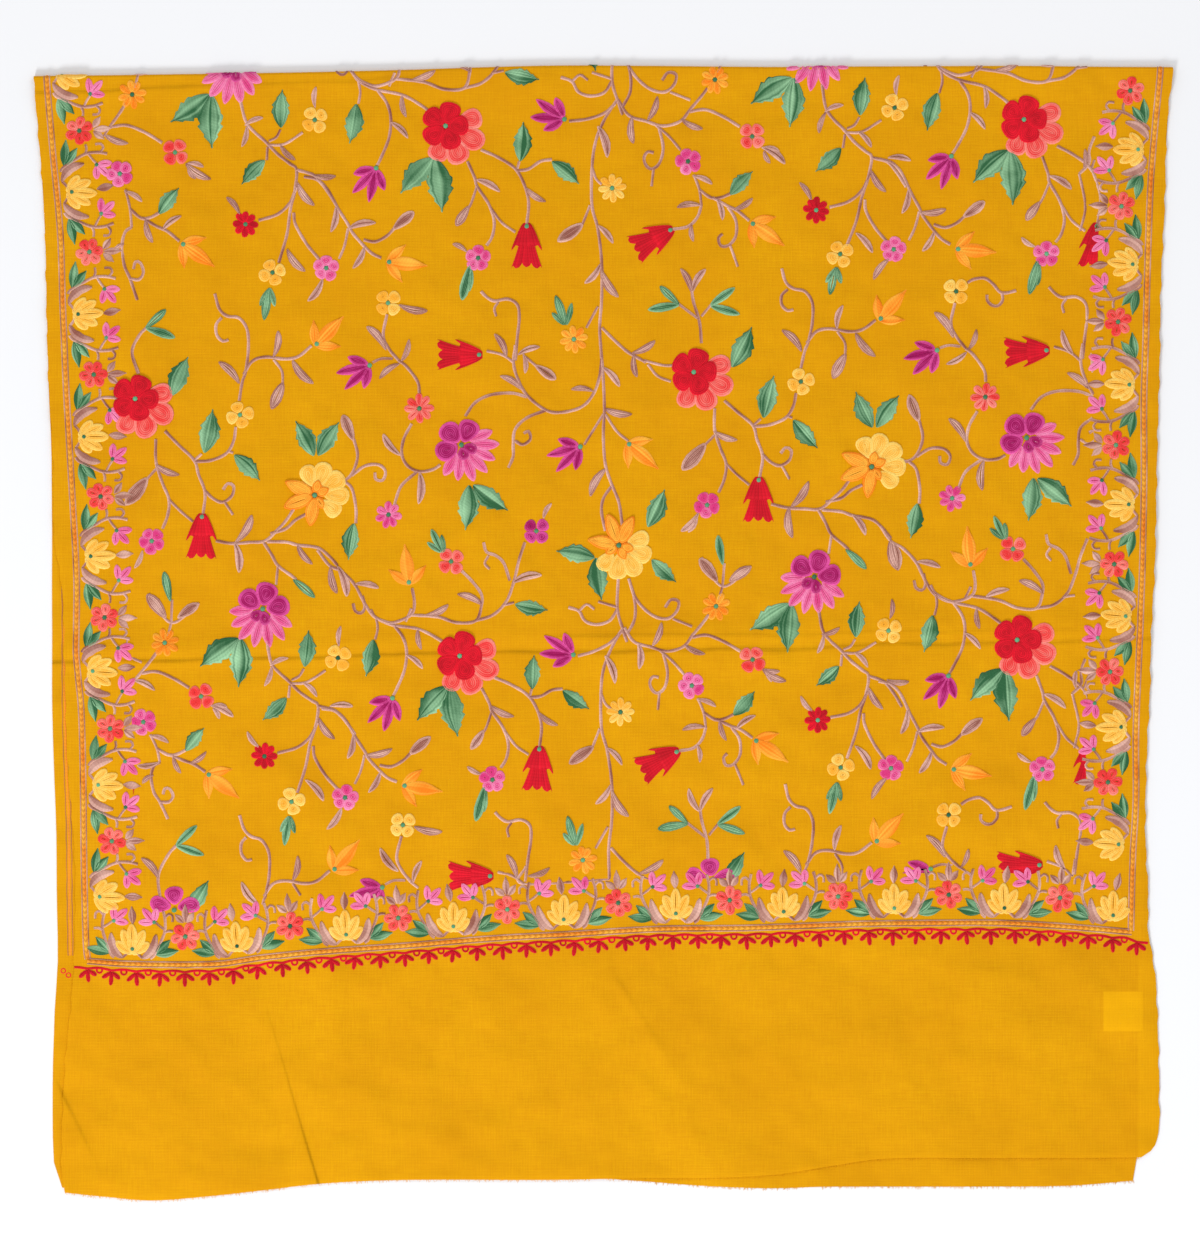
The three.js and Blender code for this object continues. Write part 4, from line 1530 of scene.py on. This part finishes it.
def creaseGroup():
    group, inside, outside = newGroup(
        "pressedCrease",
        {
            "Place": None, "From": None, "To": None,
            "Half Width": 0.002, "Start Strength": 1.0, "End Strength": 1.0,
        },
        ("Step",),
    )

    def vectorNode(operation, a, b, second=1):
        node = newNode(group, "VectorMath", {0: a, second: b}, operation=operation)
        return node.outputs["Value" if operation in ("DOT_PRODUCT", "LENGTH") else "Vector"]

    fromStart = vectorNode("SUBTRACT", inside["Place"], inside["From"])
    whole = vectorNode("SUBTRACT", inside["To"], inside["From"])
    square = vectorNode("DOT_PRODUCT", whole, whole)
    share = mathNode(group, "DIVIDE", vectorNode("DOT_PRODUCT", fromStart, whole), square, clamp=True)
    nearest = vectorNode("SCALE", whole, share, "Scale")
    away = vectorNode("LENGTH", vectorNode("SUBTRACT", fromStart, nearest), None)
    crossed = newNode(group, "SeparateXYZ", {0: vectorNode("CROSS_PRODUCT", whole, fromStart)})
    side = mathNode(group, "DIVIDE", crossed.outputs["Z"], mathNode(group, "SQRT", square))
    step = mathNode(group, "TANH", mathNode(group, "DIVIDE", side, inside["Half Width"]))
    ratio = mathNode(group, "DIVIDE", away, clothLook["creaseReach"])
    faded = mathNode(group, "EXPONENT", multiply(group, multiply(group, ratio, ratio), -1.0))
    change = subtract(group, inside["End Strength"], inside["Start Strength"])
    strength = add(group, inside["Start Strength"], multiply(group, change, share))
    setSocket(group, outside["Step"], multiply(group, multiply(group, step, faded), strength))
    return group


def paintedLightThrough(tree, x, y):  # painted light: how much paler the cloth is painted over the label and past the lower half, where light shows through
    edgeX, edgeY = clothLook["lowerEdgeX"], -clothLook["lowerEdgeY"]
    softX, softY = clothLook["edgeSoft"]
    past = rampBetween(tree, x, edgeX, edgeX + softX)
    below = rampBetween(tree, multiply(tree, y, -1.0), edgeY, edgeY + softY)
    strip = multiply(tree, multiply(tree, past, below), clothLook["stripLightThrough"])
    half = labelPatch["size"] * mm / 2
    insideX = mathNode(tree, "ABSOLUTE", subtract(tree, x, labelPatch["x"] * mm))
    insideY = mathNode(tree, "ABSOLUTE", subtract(tree, y, labelPatch["y"] * mm))
    furthest = mathNode(tree, "MAXIMUM", insideX, insideY)
    within, beyond = clothLook["labelSoft"]
    square = subtract(tree, 1.0, rampBetween(tree, furthest, half - within, half + beyond))
    return mathNode(tree, "MAXIMUM", strip, multiply(tree, square, clothLook["labelLightThrough"]))


def pressedSteps(tree, place):
    pressed = None
    for fromX, fromY, toX, toY, halfWidth, startStrength, endStrength in creaseLines:
        inputs = {
            "Place": place,
            "From": (fromX * mm, fromY * mm, 0),
            "To": (toX * mm, toY * mm, 0),
            "Half Width": halfWidth * mm,
            "Start Strength": startStrength,
            "End Strength": endStrength,
        }
        line = tree.nodes.new("ShaderNodeGroup")
        line.node_tree = pressedCrease
        for label, value in inputs.items():
            setSocket(tree, line.inputs[label], value)
        step = line.outputs["Step"]
        pressed = step if pressed is None else add(tree, pressed, step)
    return pressed


def clothMaterial(name, patches=True):
    material, tree, shader = newMaterial(name, clothLook["shader"])
    place = placeSocket(tree)
    weave = tree.nodes.new("ShaderNodeGroup")
    weave.node_tree = fineWeave
    tree.links.new(place, weave.inputs["Place"])
    weave = weave.outputs
    deep, mid, light = (linear(clothLook[key]) for key in ("deep", "mid", "light"))
    base = mixColour(tree, weave["Cloud"], deep, light)
    base = mixColour(tree, clothLook["midShare"], base, mid)
    base = mixColour(tree, multiply(tree, weave["Slub"], clothLook["slub"]), base, deep)
    # painted shade in the gaps between the threads of the weave
    threadShade = multiply(tree, subtract(tree, 1.0, weave["Weave"]), clothLook["threadShadeShare"])
    base = mixColour(tree, threadShade, base, linear(clothLook["paintedShadeBetween"]))
    creased = None
    if patches:
        split = newNode(tree, "SeparateXYZ", {0: place}).outputs
        # paler colour painted where light from the label and the pale floor shows through the cloth
        base = mixColour(tree, paintedLightThrough(tree, split["X"], split["Y"]), base, linear(clothLook["through"]))
        sway = multiply(tree, subtract(tree, weave["Cloud"], 0.5), clothLook["sway"])
        swayed = newNode(tree, "CombineXYZ", {"X": split["X"], "Y": add(tree, split["Y"], sway)})
        creased = bumpNode(tree, pressedSteps(tree, swayed.outputs["Vector"]), 1.0, clothLook["creaseStep"])
    relief = add(tree, weave["Weave"], multiply(tree, weave["Slub"], clothLook["slubRelief"]))
    normal = bumpNode(tree, relief, *clothLook["bump"], creased)
    normal = bumpNode(tree, weave["Pucker"], 1.0, clothLook["pucker"], normal)
    tree.links.new(base, shader.inputs["Base Color"])
    tree.links.new(normal, shader.inputs["Normal"])
    return material


def yarnMaterial(name, deep, light, linkLength, linkShadeDepth):
    material, tree, shader = newMaterial(name, yarnLook["shader"])
    links = tree.nodes.new("ShaderNodeGroup")
    links.node_tree = chainLinks
    links.inputs["Link Length"].default_value = linkLength
    along = newNode(tree, "Attribute", attribute_name="along")
    tones = newNode(tree, "Attribute", attribute_name="tones")
    tree.links.new(placeSocket(tree), links.inputs["Place"])
    tree.links.new(along.outputs["Fac"], links.inputs["Along"])
    links = links.outputs
    dye = multiply(tree, subtract(tree, links["Dye"], 0.5), yarnLook["dye"])
    fibre = multiply(tree, subtract(tree, links["Fibre"], 0.5), yarnLook["fibre"])
    shade = add(tree, tones.outputs["Fac"], add(tree, dye, fibre), clamp=True)
    base = mixColour(tree, shade, linear(deep), linear(light))
    # painted shade in the dips between chain links, darker than the deep dye
    paintedShadeBetween = multiply(tree, subtract(tree, 1.0, links["Link"]), linkShadeDepth)
    base = mixColour(tree, paintedShadeBetween, base, linear([c * yarnLook["betweenLinksShade"] for c in deep]))
    relief = add(tree, multiply(tree, links["Link"], yarnLook["linkRelief"]), links["Fibre"])
    tree.links.new(base, shader.inputs["Base Color"])
    tree.links.new(bumpNode(tree, relief, *yarnLook["bump"]), shader.inputs["Normal"])
    return material


fineWeave = weaveGroup()
chainLinks = chainGroup()
pressedCrease = creaseGroup()
cloth.data.materials.append(clothMaterial("mustardWool"))
frayPiece.data.materials.append(clothMaterial("looseWool", patches=False))
for name, (deep, light) in yarnColours.items():
    links = yarnLook["braidLinks" if name == "braid" else "fineLinks"]
    yarnPieces[name].data.materials.append(yarnMaterial(name + "Wool", deep, light, *links))
reverseWool = yarnMaterial("reverseWool", *yarnLook["reverse"], *yarnLook["fineLinks"])
reversePiece.data.materials.append(reverseWool)
loopPiece.data.materials.append(yarnPieces["red"].data.materials[0])
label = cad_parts["care_label"]
label.data.materials.clear()
label.data.materials.append(clothMaterial("labelTape", patches=False))
print("materials made")


# how each piece belongs to the frame

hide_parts("upper_half", "fold_bend", "lower_half")
smallPieces = [frayPiece, reversePiece, loopPiece] + list(yarnPieces.values())
for piece in [cloth] + smallPieces:
    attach(piece, "root")


# floor, light and camera

studio = {
    "viewWidth": 1.104,  # floor width that the picture takes in
    "viewCentre": (-0.0032, 0.0069),
    "cameraHeight": 3.2,
    "floorSize": 12.0,
    "floorColour": (238, 239, 242),
    "floorLook": {"Roughness": 0.75, "Specular IOR Level": 0.15},
    "lights": {"keyLight": ((-1.7, -3.9, 2.5), 1.3, 162), "fillLight": ((1.6, 2.8, 3.2), 2.4, 18)},
    "world": 0.75,
    "sensor": 36,
    "pieceHeight": 0.003,  # the level at which the view is as wide as given
}


def makeFloor():
    half = studio["floorSize"] / 2
    corners = np.array([(-half, -half, 0), (half, -half, 0), (half, half, 0), (-half, half, 0)])
    floor = newMesh("studioFloor", corners, [(0, 1, 2, 3)])
    looks = {"Base Color": linear(studio["floorColour"]), **studio["floorLook"]}
    floor.data.materials.append(newMaterial("paleFloor", looks)[0])


def makeLight(name, place, size, power):  # aimed at the middle of the cloth
    lamp = bpy.data.lights.new(name, "AREA")
    lamp.shape = "DISK"
    lamp.size = size
    lamp.energy = power
    light = bpy.data.objects.new(name, lamp)
    bpy.context.scene.collection.objects.link(light)
    light.location = place
    x, y, z = place
    light.rotation_euler = (math.atan2(math.hypot(x, y), z), 0, math.atan2(-y, -x) - math.pi / 2)


def makeCamera():
    camera = bpy.data.objects.new("overheadCamera", bpy.data.cameras.new("overheadCamera"))
    bpy.context.scene.collection.objects.link(camera)
    camera.location = (*studio["viewCentre"], studio["cameraHeight"])
    camera.data.sensor_fit = "HORIZONTAL"
    camera.data.sensor_width = studio["sensor"]
    distance = studio["cameraHeight"] - studio["pieceHeight"]
    camera.data.lens = studio["sensor"] * distance / studio["viewWidth"]
    bpy.context.scene.camera = camera


makeFloor()
for name, (place, size, power) in studio["lights"].items():
    makeLight(name, place, size, power)
world = bpy.data.worlds.new("studioWorld")
world.use_nodes = True
background = world.node_tree.nodes["Background"].inputs
background["Color"].default_value = (1, 1, 1, 1)
background["Strength"].default_value = studio["world"]
bpy.context.scene.world = world
makeCamera()
bpy.context.scene.view_settings.view_transform = "Standard"
print("studio ready")
